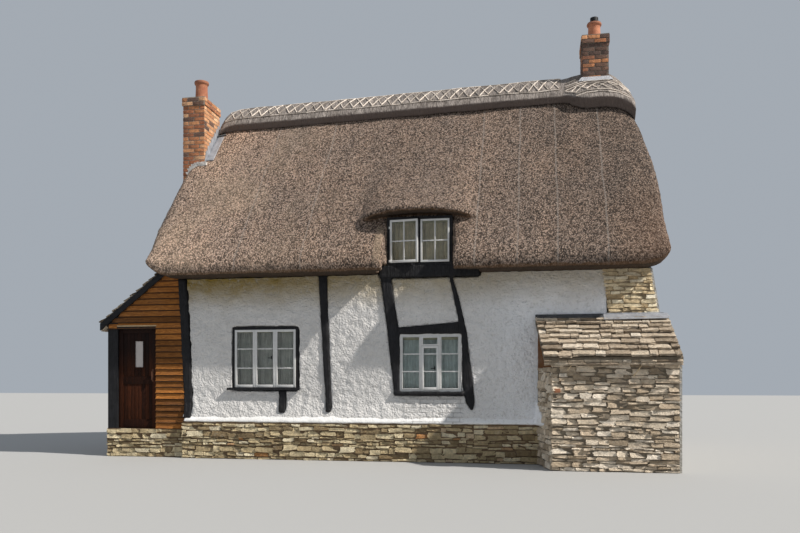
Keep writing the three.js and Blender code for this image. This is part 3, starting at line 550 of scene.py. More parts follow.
@dataclass(frozen=True)
class Straw(Finish):
    """The ridge's straw: pale on top, dark where its trimmed edge turns down, partly painted shade, with
    painted shade in its hollows.
    """

    pale: Colour = (0.42, 0.37, 0.335)
    dull: Colour = (0.225, 0.195, 0.178)
    # Painted shade in the straw's hollows, and the trimmed edge's own colour with painted shade where it
    # turns down.
    hollow_shade: Colour = (0.075, 0.06, 0.05)
    cut_and_shade: Colour = (0.146, 0.114, 0.1)
    hollows: Step = (0.1, 0.9, 0.75, 0.0)
    cut_and_shade_facing: Range = (0.16, -0.1)
    relief: float = 0.018

    def paint(self, sheet: NodeSheet) -> None:
        """Feeds the shader.

        Args:
            sheet: The material's nodes.
        """
        height = sheet.pitted(24.0, 70.0, 0.5, (1.0, 0.16, 0.16))
        colour = sheet.layered(
            sheet.mottled(self.pale, self.dull, 3.0),
            # Painted shade in the hollows and on the trimmed edge where it turns down.
            (sheet.between(height, *self.hollows), self.hollow_shade),
            (sheet.between(sheet.facing("Z"), *self.cut_and_shade_facing), self.cut_and_shade),
        )
        sheet.feed(colour, height, self.relief)


@dataclass(frozen=True)
class Limewash(Finish):
    """Old limewash on rough render, stained under the eaves and grubby at the foot, with painted light
    towards the right and painted shade in its hollows.
    """

    white: Colour = (0.75, 0.735, 0.72)
    dull: Colour = (0.63, 0.615, 0.6)
    # Painted light: the paler, bluer colour the wall takes towards the right, where it stands in shade.
    painted_light: Colour = (0.93, 0.94, 0.97)
    stain: Colour = (0.29, 0.195, 0.03)
    earth: Colour = (0.5, 0.46, 0.38)
    # Painted shade in the render's hollows.
    hollow_shade: Colour = (0.5, 0.49, 0.47)
    joint: Colour = (0.36, 0.35, 0.34)
    stain_heights: Range = (3.1, 2.45)
    stain_across: Step = (-3.6, 1.2, 1.0, 0.6)
    stain_patches: Step = (0.3, 0.7, 0.8, 1.0)
    foot_heights: Range = (0.58, 0.78)
    foot: float = 0.35
    painted_light_across: Range = (0.4, 2.2)
    shaded: float = 0.95
    hollows: Step = (0.4, 0.05, 0.0, 0.4)
    relief: float = 0.026
    brickwork: Point = (-0.3, 0.72, 1.08)
    joint_share: float = 0.6
    joint_deep: float = 1.6

    def paint(self, sheet: NodeSheet) -> None:
        """Feeds the shader.

        Args:
            sheet: The material's nodes.
        """
        height = sheet.pitted(11.0, 34.0, 0.4)
        across = sheet.axis("X")
        patches = sheet.between(sheet.noise(sheet.place((1.0, 1.0, 2.5)), 3.0, 5.0), *self.stain_patches)
        stain = sheet.stained(*self.stain_heights, 0.3)
        joints = self.brick_joints(sheet)
        colour = sheet.layered(
            sheet.mottled(self.white, self.dull, 1.4),
            # Painted light towards the right, where the wall is in shade.
            (sheet.between(across, *self.painted_light_across, 0.0, self.shaded), self.painted_light),
            (sheet.product(stain, sheet.between(across, *self.stain_across), patches), self.stain),
            (sheet.product(sheet.stained(*self.foot_heights, 0.16), self.foot), self.earth),
            # Painted shade in the hollows.
            (sheet.between(height, *self.hollows), self.hollow_shade),
            (sheet.product(joints, self.joint_share), self.joint),
        )
        height = sheet.sums("SUBTRACT", height, sheet.product(joints, self.joint_deep))
        sheet.feed(colour, height, self.relief)

    def brick_joints(self, sheet: NodeSheet) -> Socket:
        """Gives a mask of the joints of the bricks that show through under the right window.

        Args:
            sheet: The material's nodes.

        Returns:
            The mask.
        """
        x0, x1, z1 = self.brickwork
        across, up = sheet.axis("X"), sheet.axis("Z")
        flat = sheet.add("ShaderNodeCombineXYZ", {0: across, 1: up}).outputs[0]
        values = {"Vector": flat, "Scale": 1.0, "Mortar Size": 0.007, "Brick Width": 0.225,
                  "Row Height": 0.075}
        side_fade, head_fade = 0.05, 0.03
        return sheet.product(
            sheet.add("ShaderNodeTexBrick", values).outputs["Fac"],
            sheet.between(across, x0 - side_fade, x0 + side_fade),
            sheet.between(across, x1 + side_fade, x1 - side_fade),
            sheet.between(up, z1 + head_fade, z1 - head_fade),
            sheet.between(sheet.axis("Y"), 1.0, 0.9),
            sheet.between(sheet.noise(flat, 3.0), 0.35, 0.55),
        )


@dataclass(frozen=True)
class Tar(Finish):
    """Black tarred oak: a dull sheen, grain along the timber and brown where it is worn."""

    stretch: Point = (6.0, 6.0, 0.7)
    light: Colour = (0.013, 0.013, 0.016)
    dark: Colour = (0.006, 0.006, 0.007)
    worn: Colour = (0.032, 0.026, 0.022)
    worn_patches: Step = (0.62, 0.74, 0.0, 0.5)
    rough: Step = (0.0, 1.0, 0.5, 0.75)
    sheen: float = 0.3
    relief: float = 0.008

    def paint(self, sheet: NodeSheet) -> None:
        """Feeds the shader.

        Args:
            sheet: The material's nodes.
        """
        mask, height = sheet.grained(self.stretch).outputs
        worn = sheet.between(sheet.noise(sheet.place((1.0, 1.0, 0.4)), 9.0, 5.0), *self.worn_patches)
        colour = sheet.layered(sheet.mottled(self.light, self.dark, 7.0), (worn, self.worn))
        sheet.shader.inputs["Specular IOR Level"].default_value = self.sheen
        sheet.tree.links.new(sheet.between(mask, *self.rough), sheet.shader.inputs["Roughness"])
        sheet.feed(colour, height, self.relief)


@dataclass(frozen=True)
class Stone(Finish):
    """Laid stones: each its own tint, with a rough hewn face, painted shade in its pits and pale lichen."""

    stops: Stops = ()
    lichen: float = 0.35
    stain: float = 0.0
    relief: float = 0.022
    patches: tuple[Colour, Colour] = ((1.2, 1.17, 1.12), (0.7, 0.67, 0.63))
    pale: Colour = (0.6, 0.57, 0.48)
    # Painted shade in the pits of the face.
    pit_shade: Colour = (0.09, 0.07, 0.045)
    rust: Colour = (0.3, 0.19, 0.075)
    stain_heights: Range = (EAVES, 2.75)

    def paint(self, sheet: NodeSheet) -> None:
        """Feeds the shader.

        Args:
            sheet: The material's nodes.
        """
        bedding = (1.0, 1.0, 1.5)
        height = sheet.pitted(26.0, 80.0, 0.45, bedding)
        patches = sheet.mottled(*self.patches, 16.0)
        colour = sheet.mix(1.0, sheet.ramp(sheet.tint(), self.stops), patches, "MULTIPLY")
        colour = sheet.layered(
            colour,
            (sheet.between(sheet.noise(sheet.place(bedding), 11.0, 5.0), 0.56, 0.7, 0.0, self.lichen),
             self.pale),
            # Painted shade in the pits.
            (sheet.between(height, 0.3, 0.0, 0.0, 0.5), self.pit_shade),
        )
        if self.stain:
            stain = sheet.product(sheet.stained(*self.stain_heights, 0.3), self.stain)
            colour = sheet.mix(stain, colour, self.rust)
        sheet.feed(colour, height, self.relief)


@dataclass(frozen=True)
class Mortar(Finish):
    """Lime mortar and earth behind laid stones or bricks."""

    light: Colour = (0.38, 0.325, 0.245)
    dark: Colour = (0.19, 0.16, 0.115)
    relief: float = 0.012

    def paint(self, sheet: NodeSheet) -> None:
        """Feeds the shader."""
        colour = sheet.mottled(self.light, self.dark, 9.0)
        sheet.feed(colour, sheet.pitted(40.0, 110.0, 0.5), self.relief)


@dataclass(frozen=True)
class Brick(Finish):
    """Weathered red bricks, a few of them burnt dark."""

    stops: Stops = (
        (0.0, (0.11, 0.07, 0.058)),
        (0.14, (0.2, 0.11, 0.075)),
        (0.35, (0.4, 0.15, 0.07)),
        (0.75, (0.64, 0.29, 0.13)),
        (1.0, (0.88, 0.55, 0.32)),
    )
    patches: tuple[Colour, Colour] = ((1.2, 1.18, 1.15), (0.6, 0.58, 0.58))
    soot: Colour = (0.12, 0.08, 0.065)
    soot_patches: Step = (0.5, 0.68, 0.0, 0.45)
    relief: float = 0.006

    def paint(self, sheet: NodeSheet) -> None:
        """Feeds the shader.

        Args:
            sheet: The material's nodes.
        """
        patches = sheet.mottled(*self.patches, 22.0)
        colour = sheet.mix(1.0, sheet.ramp(sheet.tint(), self.stops), patches, "MULTIPLY")
        soot = sheet.between(sheet.noise(sheet.place((1.0, 1.0, 0.5)), 3.0, 4.0), *self.soot_patches)
        sheet.feed(sheet.mix(soot, colour, self.soot), sheet.pitted(60.0, 150.0, 0.5), self.relief)


@dataclass(frozen=True)
class Terracotta(Finish):
    """A fired clay pot, sooty at its mouth."""

    mouth: float = 7.3
    light: Colour = (0.46, 0.19, 0.1)
    dark: Colour = (0.3, 0.1, 0.055)
    soot: Colour = (0.09, 0.06, 0.05)
    soot_share: float = 0.6
    relief: float = 0.003

    def paint(self, sheet: NodeSheet) -> None:
        """Feeds the shader.

        Args:
            sheet: The material's nodes.
        """
        soot = sheet.product(sheet.stained(self.mouth + 0.05, self.mouth - 0.12, 0.12), self.soot_share)
        colour = sheet.layered(sheet.mottled(self.light, self.dark, 8.0), (soot, self.soot))
        sheet.feed(colour, sheet.pitted(50.0, 140.0, 0.5), self.relief)


@dataclass(frozen=True)
class Board(Finish):
    """Boards: grain along them, each with its own tint, greyer where the weather reaches, with painted shade
    under each lap and, where asked, towards the top.
    """

    light: Colour = (0.45, 0.178, 0.036)
    dark: Colour = (0.19, 0.066, 0.014)
    weathered: Colour = (0.22, 0.19, 0.16)
    # The colour of the painted shade under each board's lap.
    gap: Colour = (0.02, 0.011, 0.006)
    shade: Colour = (0.006, 0.004, 0.004)
    stretch: Point = (0.5, 9.0, 9.0)
    grey: float = 0.08
    sheen: float = 0.25
    tints: Step = (0.0, 1.0, 0.58, 1.5)
    lapped: bool = False
    shaded: Range | None = None
    relief: float = 0.005

    def paint(self, sheet: NodeSheet) -> None:
        """Feeds the shader.

        Args:
            sheet: The material's nodes.
        """
        sheet.shader.inputs["Specular IOR Level"].default_value = self.sheen
        mask, height = sheet.grained(self.stretch).outputs
        fibres = sheet.between(sheet.noise(sheet.place(self.stretch), 26.0, 4.0), 0.3, 0.7, 0.3, 1.0)
        clouds = sheet.noise(sheet.place((0.6, 2.0, 2.0)), 2.0, 4.0)
        weather = sheet.between(clouds, 0.45, 0.7, 0.0, self.grey)
        colour = sheet.mix(sheet.product(mask, fibres), self.dark, self.light)
        colour = sheet.shaded(colour, sheet.between(sheet.tint(), *self.tints))
        colour = sheet.mix(weather, colour, self.weathered)
        if self.lapped:
            # Painted shade under each lap, then, where asked, painted shade towards the top.
            colour = sheet.mix(self.lap_shade(sheet), colour, self.gap)
        if self.shaded is not None:
            colour = sheet.mix(sheet.between(sheet.axis("Z"), *self.shaded, 0.0, 0.7), colour, self.shade)
        sheet.feed(colour, height, self.relief)

    def lap_shade(self, sheet: NodeSheet) -> Socket:
        """Gives a mask of the painted shade under each board's edge and on the faces that turn down.

        Args:
            sheet: The material's nodes.

        Returns:
            The mask.
        """
        courses = sheet.sums("DIVIDE", sheet.sums("SUBTRACT", sheet.axis("Z"), BOARD_FOOT), BOARD_PITCH)
        near_lap = sheet.between(sheet.sums("FRACT", courses), 0.74, 0.86, 0.0, 0.85)
        return sheet.sums("MAXIMUM", near_lap, sheet.between(sheet.facing("Z"), -0.3, -0.7, 0.0, 0.85))


@dataclass(frozen=True)
class Gloss(Finish):
    """Painted wood with brush marks and a little dirt in patches."""

    colour: Colour = (0.69, 0.69, 0.68)
    dirt: Colour = (0.42, 0.41, 0.385)
    stretch: Point = (3.0, 3.0, 0.8)
    relief: float = 0.002

    def paint(self, sheet: NodeSheet) -> None:
        """Feeds the shader."""
        colour = sheet.layered(sheet.mottled(self.colour, self.dirt, 12.0, spread=0.3), (0.55, self.colour))
        sheet.feed(colour, sheet.noise(sheet.place(self.stretch), 40.0), self.relief)


@dataclass(frozen=True)
class OldGlass(Finish):
    """Old window glass, a little uneven and dusty."""

    clear: Colour = (0.9, 0.93, 0.91)
    dusty: Colour = (0.74, 0.79, 0.77)
    bend: float = 1.45
    rough: Step = (0.3, 0.8, 0.01, 0.07)
    relief: float = 0.004

    def paint(self, sheet: NodeSheet) -> None:
        """Feeds the shader.

        Args:
            sheet: The material's nodes.
        """
        sheet.shader.inputs["Transmission Weight"].default_value = 1.0
        sheet.shader.inputs["IOR"].default_value = self.bend
        rough = sheet.between(sheet.noise(sheet.place(), 6.0, 4.0), *self.rough)
        sheet.tree.links.new(rough, sheet.shader.inputs["Roughness"])
        colour = sheet.mottled(self.clear, self.dusty, 5.0)
        sheet.feed(colour, sheet.noise(sheet.place(), 3.0, 1.0), self.relief)


@dataclass(frozen=True)
class Metal(Finish):
    """Dull metal sheet or black iron, with patches where it has weathered."""

    light: Colour = (0.44, 0.455, 0.49)
    dark: Colour = (0.25, 0.26, 0.285)
    metallic: float = 0.35
    relief: float = 0.003

    def paint(self, sheet: NodeSheet) -> None:
        """Feeds the shader."""
        sheet.shader.inputs["Metallic"].default_value = self.metallic
        sheet.feed(sheet.mottled(self.light, self.dark, 9.0), sheet.pitted(18.0, 90.0, 0.4), self.relief)


@dataclass(frozen=True)
class Cotton(Finish):
    """Plain curtain cloth with a fine weave."""

    colour: Colour = (0.5, 0.49, 0.41)
    crease: float = 0.72
    threads: float = 420.0
    relief: float = 0.0006

    def paint(self, sheet: NodeSheet) -> None:
        """Feeds the shader.

        Args:
            sheet: The material's nodes.
        """
        dark = tuple(part * self.crease for part in self.colour)
        checks = sheet.add("ShaderNodeTexChecker", {"Vector": sheet.place(), "Scale": self.threads})
        weave = checks.outputs["Fac"]
        sheet.feed(sheet.mottled(self.colour, dark, 6.0), weave, self.relief)


REED = Reed("reed", 1.0)
STRAW = Straw("ridge_straw", 0.95)
WHITEWASH = Limewash("limewash", 0.95)
LIP_WASH = Limewash("lip_limewash", 0.95, (0.84, 0.835, 0.83), (0.76, 0.755, 0.74), relief=0.005, foot=0.0)
LEFT_WASH = Limewash("left_limewash", 0.95, stain_heights=(6.6, 5.6))
# Greyer limewash for the gable's and the oven's render: partly stained, partly painted shade that tones down
# the strong sun on these faces.
GABLE_WASH = Limewash("gable_limewash", 0.95, (0.5, 0.49, 0.465), (0.4, 0.385, 0.355),
                      stain_heights=(6.6, 5.6), relief=0.035, shaded=0.0)
TAR = Tar("tarred_oak", 0.6)
TAR_LEVEL = Tar("tarred_oak_level", 0.6, stretch=(0.7, 6.0, 6.0))
OVEN_STONE = Stone("oven_stone", 0.95, relief=0.014, stops=(
    (0.0, (0.36, 0.285, 0.2)), (0.25, (0.62, 0.51, 0.385)), (0.6, (0.82, 0.71, 0.57)),
    (1.0, (0.98, 0.89, 0.77)),
))
PLINTH_STONE = Stone("plinth_stone", 0.95, lichen=0.25, stops=(
    (0.0, (0.27, 0.195, 0.105)), (0.35, (0.62, 0.5, 0.3)), (0.8, (0.88, 0.76, 0.51)),
    (0.95, (0.97, 0.88, 0.66)), (0.99, (0.55, 0.27, 0.1)),
))
GABLE_STONE = Stone("gable_stone", 0.95, stain=0.4, relief=0.008, stops=(
    (0.0, (0.48, 0.36, 0.21)), (0.3, (0.82, 0.68, 0.45)), (0.7, (0.95, 0.85, 0.63)),
    (1.0, (0.98, 0.92, 0.76)),
))
SLATE_STONE = Stone("slate_stone", 0.95, lichen=0.4, stops=(
    (0.0, (0.3, 0.235, 0.17)), (0.3, (0.6, 0.495, 0.38)), (0.7, (0.82, 0.705, 0.565)),
    (1.0, (0.95, 0.86, 0.74)),
))
EARTH = Mortar("earth_mortar", 1.0, light=(0.3, 0.25, 0.185), dark=(0.13, 0.105, 0.075))
BROWN_EARTH = Mortar("brown_mortar", 1.0, light=(0.27, 0.185, 0.11), dark=(0.13, 0.085, 0.05))
CREAM_MORTAR = Mortar("cream_mortar", 1.0, light=(0.5, 0.4, 0.26), dark=(0.2, 0.15, 0.09))
SOOTY_MORTAR = Mortar("sooty_mortar", 1.0, light=(0.3, 0.25, 0.2), dark=(0.15, 0.12, 0.1))
BRICK_MORTAR = Mortar("brick_mortar", 1.0, light=(0.46, 0.4, 0.33), dark=(0.27, 0.225, 0.18))
PALE_MORTAR = Mortar("pale_mortar", 1.0, light=(0.74, 0.71, 0.68), dark=(0.5, 0.47, 0.44))
LIME_MORTAR = Mortar("lime_mortar", 1.0, light=(0.62, 0.63, 0.66), dark=(0.42, 0.43, 0.46))
RED_BRICK = Brick("red_brick", 0.92)
OAK_BOARD = Board("oak_boards", 0.8, lapped=True)
OAK_BOARD_SIDE = Board("oak_boards_side", 0.8, stretch=(9.0, 0.5, 9.0), lapped=True)
OAK_RISE = Board("oak_upright", 0.8, stretch=(9.0, 9.0, 0.5), grey=0.4)
FLOOR_BOARD = Board("floor_boards", 0.85, light=(0.3, 0.22, 0.15), dark=(0.15, 0.105, 0.07))
DOOR_STAIN = Board("door_stain", 0.55, light=(0.052, 0.0135, 0.004), dark=(0.022, 0.006, 0.002),
                   stretch=(9.0, 9.0, 0.5), grey=0.0, sheen=0.12, shaded=(1.4, 2.0))
HAZEL = Board("hazel_rods", 0.85, light=(0.78, 0.71, 0.63), dark=(0.46, 0.39, 0.33), stretch=(3.0, 3.0, 3.0))
PALE_LATH = Board("pale_laths", 0.85, light=(0.62, 0.48, 0.3), dark=(0.42, 0.31, 0.18),
                  stretch=(3.0, 3.0, 3.0))
WHITE_PAINT = Gloss("white_paint", 0.45)
# A pelmet's olive cream, which also stands for a painted reflection of the thatch at the panes' heads.
PELMET_AND_REFLECTION = Gloss("pelmet_cream", 0.8, colour=(0.5, 0.47, 0.3), dirt=(0.34, 0.31, 0.18))
GLASS = OldGlass("old_glass", 0.03)
FROSTED = Gloss("frosted_glass", 0.25, colour=(0.52, 0.475, 0.45), dirt=(0.34, 0.31, 0.29))
LEAD = Metal("lead_sheet", 0.55)
DARK_LEAD = Metal("dark_lead", 0.6, light=(0.11, 0.115, 0.12), dark=(0.05, 0.052, 0.056))
IRON = Metal("black_iron", 0.5, light=(0.04, 0.04, 0.042), dark=(0.016, 0.015, 0.015), metallic=0.8)
RUST = Metal("rusty_iron", 0.7, light=(0.17, 0.07, 0.035), dark=(0.07, 0.03, 0.018), metallic=0.4)


# Hand tools


def pick(*pieces: Piece) -> None:
    """Selects only these pieces, and makes the first one active.

    Args:
        *pieces: The pieces.
    """
    bpy.ops.object.select_all(action="DESELECT")
    for piece in pieces:
        piece.select_set(True)
    bpy.context.view_layer.objects.active = pieces[0]


@contextmanager
def edited() -> Iterator[None]:
    """Opens the active piece for editing with its whole mesh selected, and closes it again.

    Yields:
        Nothing.
    """
    bpy.ops.object.mode_set(mode="EDIT")
    bpy.ops.mesh.select_all(action="SELECT")
    yield
    bpy.ops.object.mode_set(mode="OBJECT")


def added(shape: Callable, name: str, **sizes) -> Piece:
    """Adds one of the plain shapes, with nothing else selected.

    Args:
        shape: The operator that adds it.
        name: The new piece's name.
        **sizes: The operator's own settings.

    Returns:
        The new piece.
    """
    bpy.ops.object.select_all(action="DESELECT")
    shape(**sizes)
    bpy.context.object.name = name
    return bpy.context.object


def finished(piece: Piece, finish: Finish, body: Body = Body.HOUSE) -> Piece:
    """Gives a piece its finish and its body.

    Args:
        piece: The piece.
        finish: Its finish.
        body: The body it rides on.

    Returns:
        The piece.
    """
    piece.data.materials.clear()
    piece.data.materials.append(material_of(finish))
    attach(piece, body.value)
    piece.data.calc_loop_triangles()
    log.info("%s: %d triangles", piece.name, len(piece.data.loop_triangles))
    return piece


def dress_nodes(finish: Finish, *nodes: str) -> None:
    """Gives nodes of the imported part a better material.

    Args:
        finish: Their finish.
        *nodes: The nodes' names.
    """
    for node in nodes:
        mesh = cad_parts[node].data
        mesh.materials.clear()
        mesh.materials.append(material_of(finish))


def copied(node: str, name: str) -> Piece:
    """Copies a node's mesh into a new piece and merges its loose triangles.

    Args:
        node: The node's name.
        name: The piece's name.

    Returns:
        The piece.
    """
    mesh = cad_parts[node].data.copy()
    mesh.name = name
    piece = bpy.data.objects.new(name, mesh)
    bpy.context.scene.collection.objects.link(piece)
    pick(piece)
    with edited():
        bpy.ops.mesh.remove_doubles(threshold=0.00005)
    return piece


def applied(piece: Piece, kind: str, **settings) -> None:
    """Adds a modifier to a piece, and applies it.

    Args:
        piece: The piece.
        kind: The modifier's type.
        **settings: The modifier's settings.
    """
    modifier = piece.modifiers.new(kind.lower(), kind)
    for key, value in settings.items():
        setattr(modifier, key, value)
    pick(piece)
    bpy.ops.object.modifier_apply(modifier=modifier.name)


@dataclass(frozen=True)
class Swell:
    """Clouds that swell a surface: their size and depth, how much they move it and what stays put."""

    size: float
    strength: float
    middle: float = 0.5
    depth: int = 2

    def roughen(self, piece: Piece) -> None:
        """Roughens a piece.

        Args:
            piece: The piece.
        """
        clouds = bpy.data.textures.new("clouds", "CLOUDS")
        clouds.noise_scale = self.size
        clouds.noise_depth = self.depth
        applied(piece, "DISPLACE", texture=clouds, strength=self.strength, mid_level=self.middle,
                texture_coords="LOCAL")


def smooth(piece: Piece, angle: float | None = None) -> None:
    """Shades a piece smooth.

    Args:
        piece: The piece.
        angle: Up to how sharp an edge, in degrees, or nothing for all over.
    """
    pick(piece)
    if angle is None:
        bpy.ops.object.shade_smooth()
    else:
        bpy.ops.object.shade_smooth_by_angle(angle=math.radians(angle))


def worn(piece: Piece, voxel: float, swells: Sequence[Swell], ease: float = 0.5, passes: int = 1) -> None:
    """Makes a piece into one uneven skin with soft edges.

    Args:
        piece: The piece.
        voxel: The size of the skin's cells.
        swells: What makes it uneven.
        ease: How much each pass softens its edges.
        passes: How often they are softened.
    """
    applied(piece, "REMESH", mode="VOXEL", voxel_size=voxel)
    applied(piece, "SMOOTH", factor=ease, iterations=passes)
    for swell in swells:
        swell.roughen(piece)
    smooth(piece)


def joined(pieces: Sequence[Piece], name: str) -> Piece:
    """Joins pieces into one.

    Args:
        pieces: The pieces.
        name: The whole's name.

    Returns:
        The whole.
    """
    pick(*pieces)
    if len(pieces) > 1:
        bpy.ops.object.join()
    whole = bpy.context.view_layer.objects.active
    whole.name = name
    whole.data.name = name
    return whole


@dataclass(frozen=True)
class Spot:
    """Where a copy of a master shape goes, its tint, and which master it is."""

    matrix: Matrix
    tint: float = 0.5
    which: int = 0


def laid(name: str, masters: Sequence[Piece], spots: Iterable[Spot]) -> Piece:
    """Copies master shapes to their spots, each with its own mesh, and joins the copies.

    Args:
        name: The joined piece's name.
        masters: The shapes, about the origin.
        spots: Where each copy goes.

    Returns:
        The joined piece.
    """
    copies = []
    for spot in spots:
        mesh = masters[spot.which % len(masters)].data.copy()
        mesh.transform(spot.matrix)
        tint = mesh.attributes.new(TINT, "FLOAT", "POINT")
        tint.data.foreach_set("value", [spot.tint] * len(mesh.vertices))
        copy = bpy.data.objects.new(name, mesh)
        bpy.context.scene.collection.objects.link(copy)
        copies.append(copy)
    return joined(copies, name)


def coursed(name: str, masters: Sequence[Piece], spots: Iterable[Spot], finish: Finish,
            angle: float = 35.0) -> None:
    """Lays master shapes as one finished piece that rests on the floor and not under it.

    Args:
        name: The piece's name.
        masters: The shapes.
        spots: Where each copy goes.
        finish: The piece's finish.
        angle: Up to how sharp an edge it is shaded smooth, in degrees.
    """
    piece = laid(name, masters, spots)
    for vertex in piece.data.vertices:
        vertex.co.z = max(vertex.co.z, 0.0)
    smooth(piece, angle)
    finished(piece, finish)


def discard(*pieces: Piece) -> None:
    """Deletes master shapes after use."""
    pick(*pieces)
    bpy.ops.object.delete()


def block() -> Piece:
    """Adds a unit cube about the origin."""
    return added(bpy.ops.mesh.primitive_cube_add, "block", size=1.0)


def rough_block(cuts: int, wobble: float, seed: int) -> Piece:
    """Makes a unit block with divided, uneven faces.

    Args:
        cuts: How many cuts divide each edge.
        wobble: How far a corner moves.
        seed: The seed of its unevenness.

    Returns:
        The block.
    """
    piece = block()
    with edited():
        bpy.ops.mesh.subdivide(number_cuts=cuts)
        bpy.ops.transform.vertex_random(offset=wobble, uniform=0.3, seed=seed)
    return piece


def bevelled_block(width: float, wobble: float, seed: int) -> Piece:
    """Makes a unit block with worn edges.

    Args:
        width: How much is taken off an edge.
        wobble: How far a corner moves.
        seed: The seed of its unevenness.

    Returns:
        The block.
    """
    piece = block()
    with edited():
        bpy.ops.mesh.bevel(offset=width, affect="EDGES")
        bpy.ops.mesh.select_all(action="SELECT")
        bpy.ops.transform.vertex_random(offset=wobble, uniform=0.2, seed=seed)
    return piece


def box_matrix(box: Box) -> Matrix:
    """Gives the matrix that makes a unit block fill a box.

    Args:
        box: The box's x0, x1, y0, y1, z0, z1.

    Returns:
        The matrix.
    """
    x0, x1, y0, y1, z0, z1 = box
    middle = Vector(((x0 + x1) / 2, (y0 + y1) / 2, (z0 + z1) / 2))
    return Matrix.LocRotScale(middle, None, Vector((x1 - x0, y1 - y0, z1 - z0)))


def bars(name: str, boxes: Sequence[Box | Matrix], chamfer: float = 0.003,
         tints: random.Random | None = None) -> Piece:
    """Makes one piece of many bars, with their edges taken off.

    Args:
        name: The piece's name.
        boxes: Each bar's box, or the matrix that makes a unit block into it.
        chamfer: How much is taken off an edge.
        tints: Where each bar's tint is drawn from.

    Returns:
        The piece.
    """
    master = block()
    shapes = [box if isinstance(box, Matrix) else box_matrix(box) for box in boxes]
    piece = laid(name, [master], [Spot(shape, tints.random() if tints else Spot.tint) for shape in shapes])
    discard(master)
    applied(piece, "BEVEL", width=chamfer, segments=2, limit_method="ANGLE")
    smooth(piece, 40)
    return piece


def turned(name: str, profile: Sequence[Range], middle: Point, sides: int = 40) -> Piece:
    """Makes a round piece by drawing a ring up through a profile.

    Args:
        name: The piece's name.
        profile: Radius and height of each ring, round from the first back to it.
        middle: The middle of the ring at height nought.
        sides: How many sides a ring has.

    Returns:
        The piece.
    """
    (radius, height), *rest = profile
    centre = Vector(middle)
    start = centre + Vector((0, 0, height))
    piece = added(bpy.ops.mesh.primitive_circle_add, name, vertices=sides, radius=radius, location=start)
    bpy.ops.object.transform_apply(location=True, rotation=True, scale=True)
    with edited():
        for next_radius, next_height in [*rest, profile[0]]:
            bpy.ops.mesh.extrude_region()
            bpy.ops.transform.translate(value=(0, 0, next_height - height))
            ratio = next_radius / radius
            bpy.ops.transform.resize(value=(ratio, ratio, 1), center_override=centre)
            radius, height = next_radius, next_height
        bpy.ops.mesh.select_all(action="SELECT")
        bpy.ops.mesh.remove_doubles(threshold=0.0001)
        bpy.ops.mesh.normals_make_consistent(inside=False)
    smooth(piece, 50)
    return piece


def stick(start: Vector, end: Vector, radius: float) -> Matrix:
    """Gives the matrix that lays a unit stick, upright about the origin, between two points.

    Args:
        start: The first point.
        end: The second point.
        radius: The stick's radius.

    Returns:
        The matrix.
    """
    way = end - start
    size = Vector((radius, radius, way.length))
    return Matrix.LocRotScale((start + end) / 2, way.to_track_quat("Z", "Y"), size)


def surface_under(piece: Piece, x: float, y: float, out: float = 0.0) -> Vector | None:
    """Gives the point on top of a piece at some place, moved out from its face, where there is any."""
    hit, point, normal, _ = piece.ray_cast(Vector((x, y, SKY)), DOWN)
    return point + normal * out if hit else None


def track(rows: Sequence[Range], height: float) -> float:
    """Gives the place of a crooked edge at some height.

    Args:
        rows: The edge's corners, each its height and its place.
        height: The height.

    Returns:
        The place.
    """
    for (low, a), (high, b) in zip(rows, rows[1:]):
        if height <= high:
            return a + (b - a) * max(0.0, height - low) / (high - low)
    return rows[-1][1]


# Laying in courses


@dataclass(frozen=True)
class Face:
    """A flat face to lay on: its lower corner, the directions along it and up it, and its size."""

    corner: Point
    along: Point
    width: float
    height: float
    up: Point = (0.0, 0.0, 1.0)

    def frame(self) -> Matrix:
        """Gives the matrix from the face's own along, inwards and up to the part's frame.

        Returns:
            The matrix.
        """
        along, up = Vector(self.along).normalized(), Vector(self.up).normalized()
        columns = (along, up.cross(along), up, Vector(self.corner))
        rows = [[column[i] for column in columns] for i in range(3)]
        return Matrix([*rows, [0.0, 0.0, 0.0, 1.0]])

    def spot(self, u: Range, v: Range, out: float, deep: float, turn: float = 0.0, tilt: float = 0.0,
             tint: float = Spot.tint, which: int = 0, yaw: float = 0.0) -> Spot:
        """Gives the spot of one piece.

        Args:
            u: Its ends along the face.
            v: Its foot and head up the face.
            out: How far it stands out.
            deep: How deep it is in all.
            turn: How far it turns in the face, in radians.
            tilt: How far its head leans in, in radians.
            tint: Its tint.
            which: Which master it copies.
            yaw: How far one end turns in, in radians.

        Returns:
            The spot.
        """
        middle = Vector(((u[0] + u[1]) / 2, deep / 2 - out, (v[0] + v[1]) / 2))
        turned_in = Matrix.Rotation(yaw, 4, "Z") @ Matrix.Rotation(turn, 4, "Y")
        rotation = turned_in @ Matrix.Rotation(-tilt, 4, "X")
        scale = Matrix.Diagonal(Vector((u[1] - u[0], deep, v[1] - v[0], 1.0)))
        return Spot(self.frame() @ Matrix.Translation(middle) @ rotation @ scale, tint, which)

    def whole(self, height: float) -> Range:
        """Gives the face's full width, at any height."""
        return 0.0, self.width


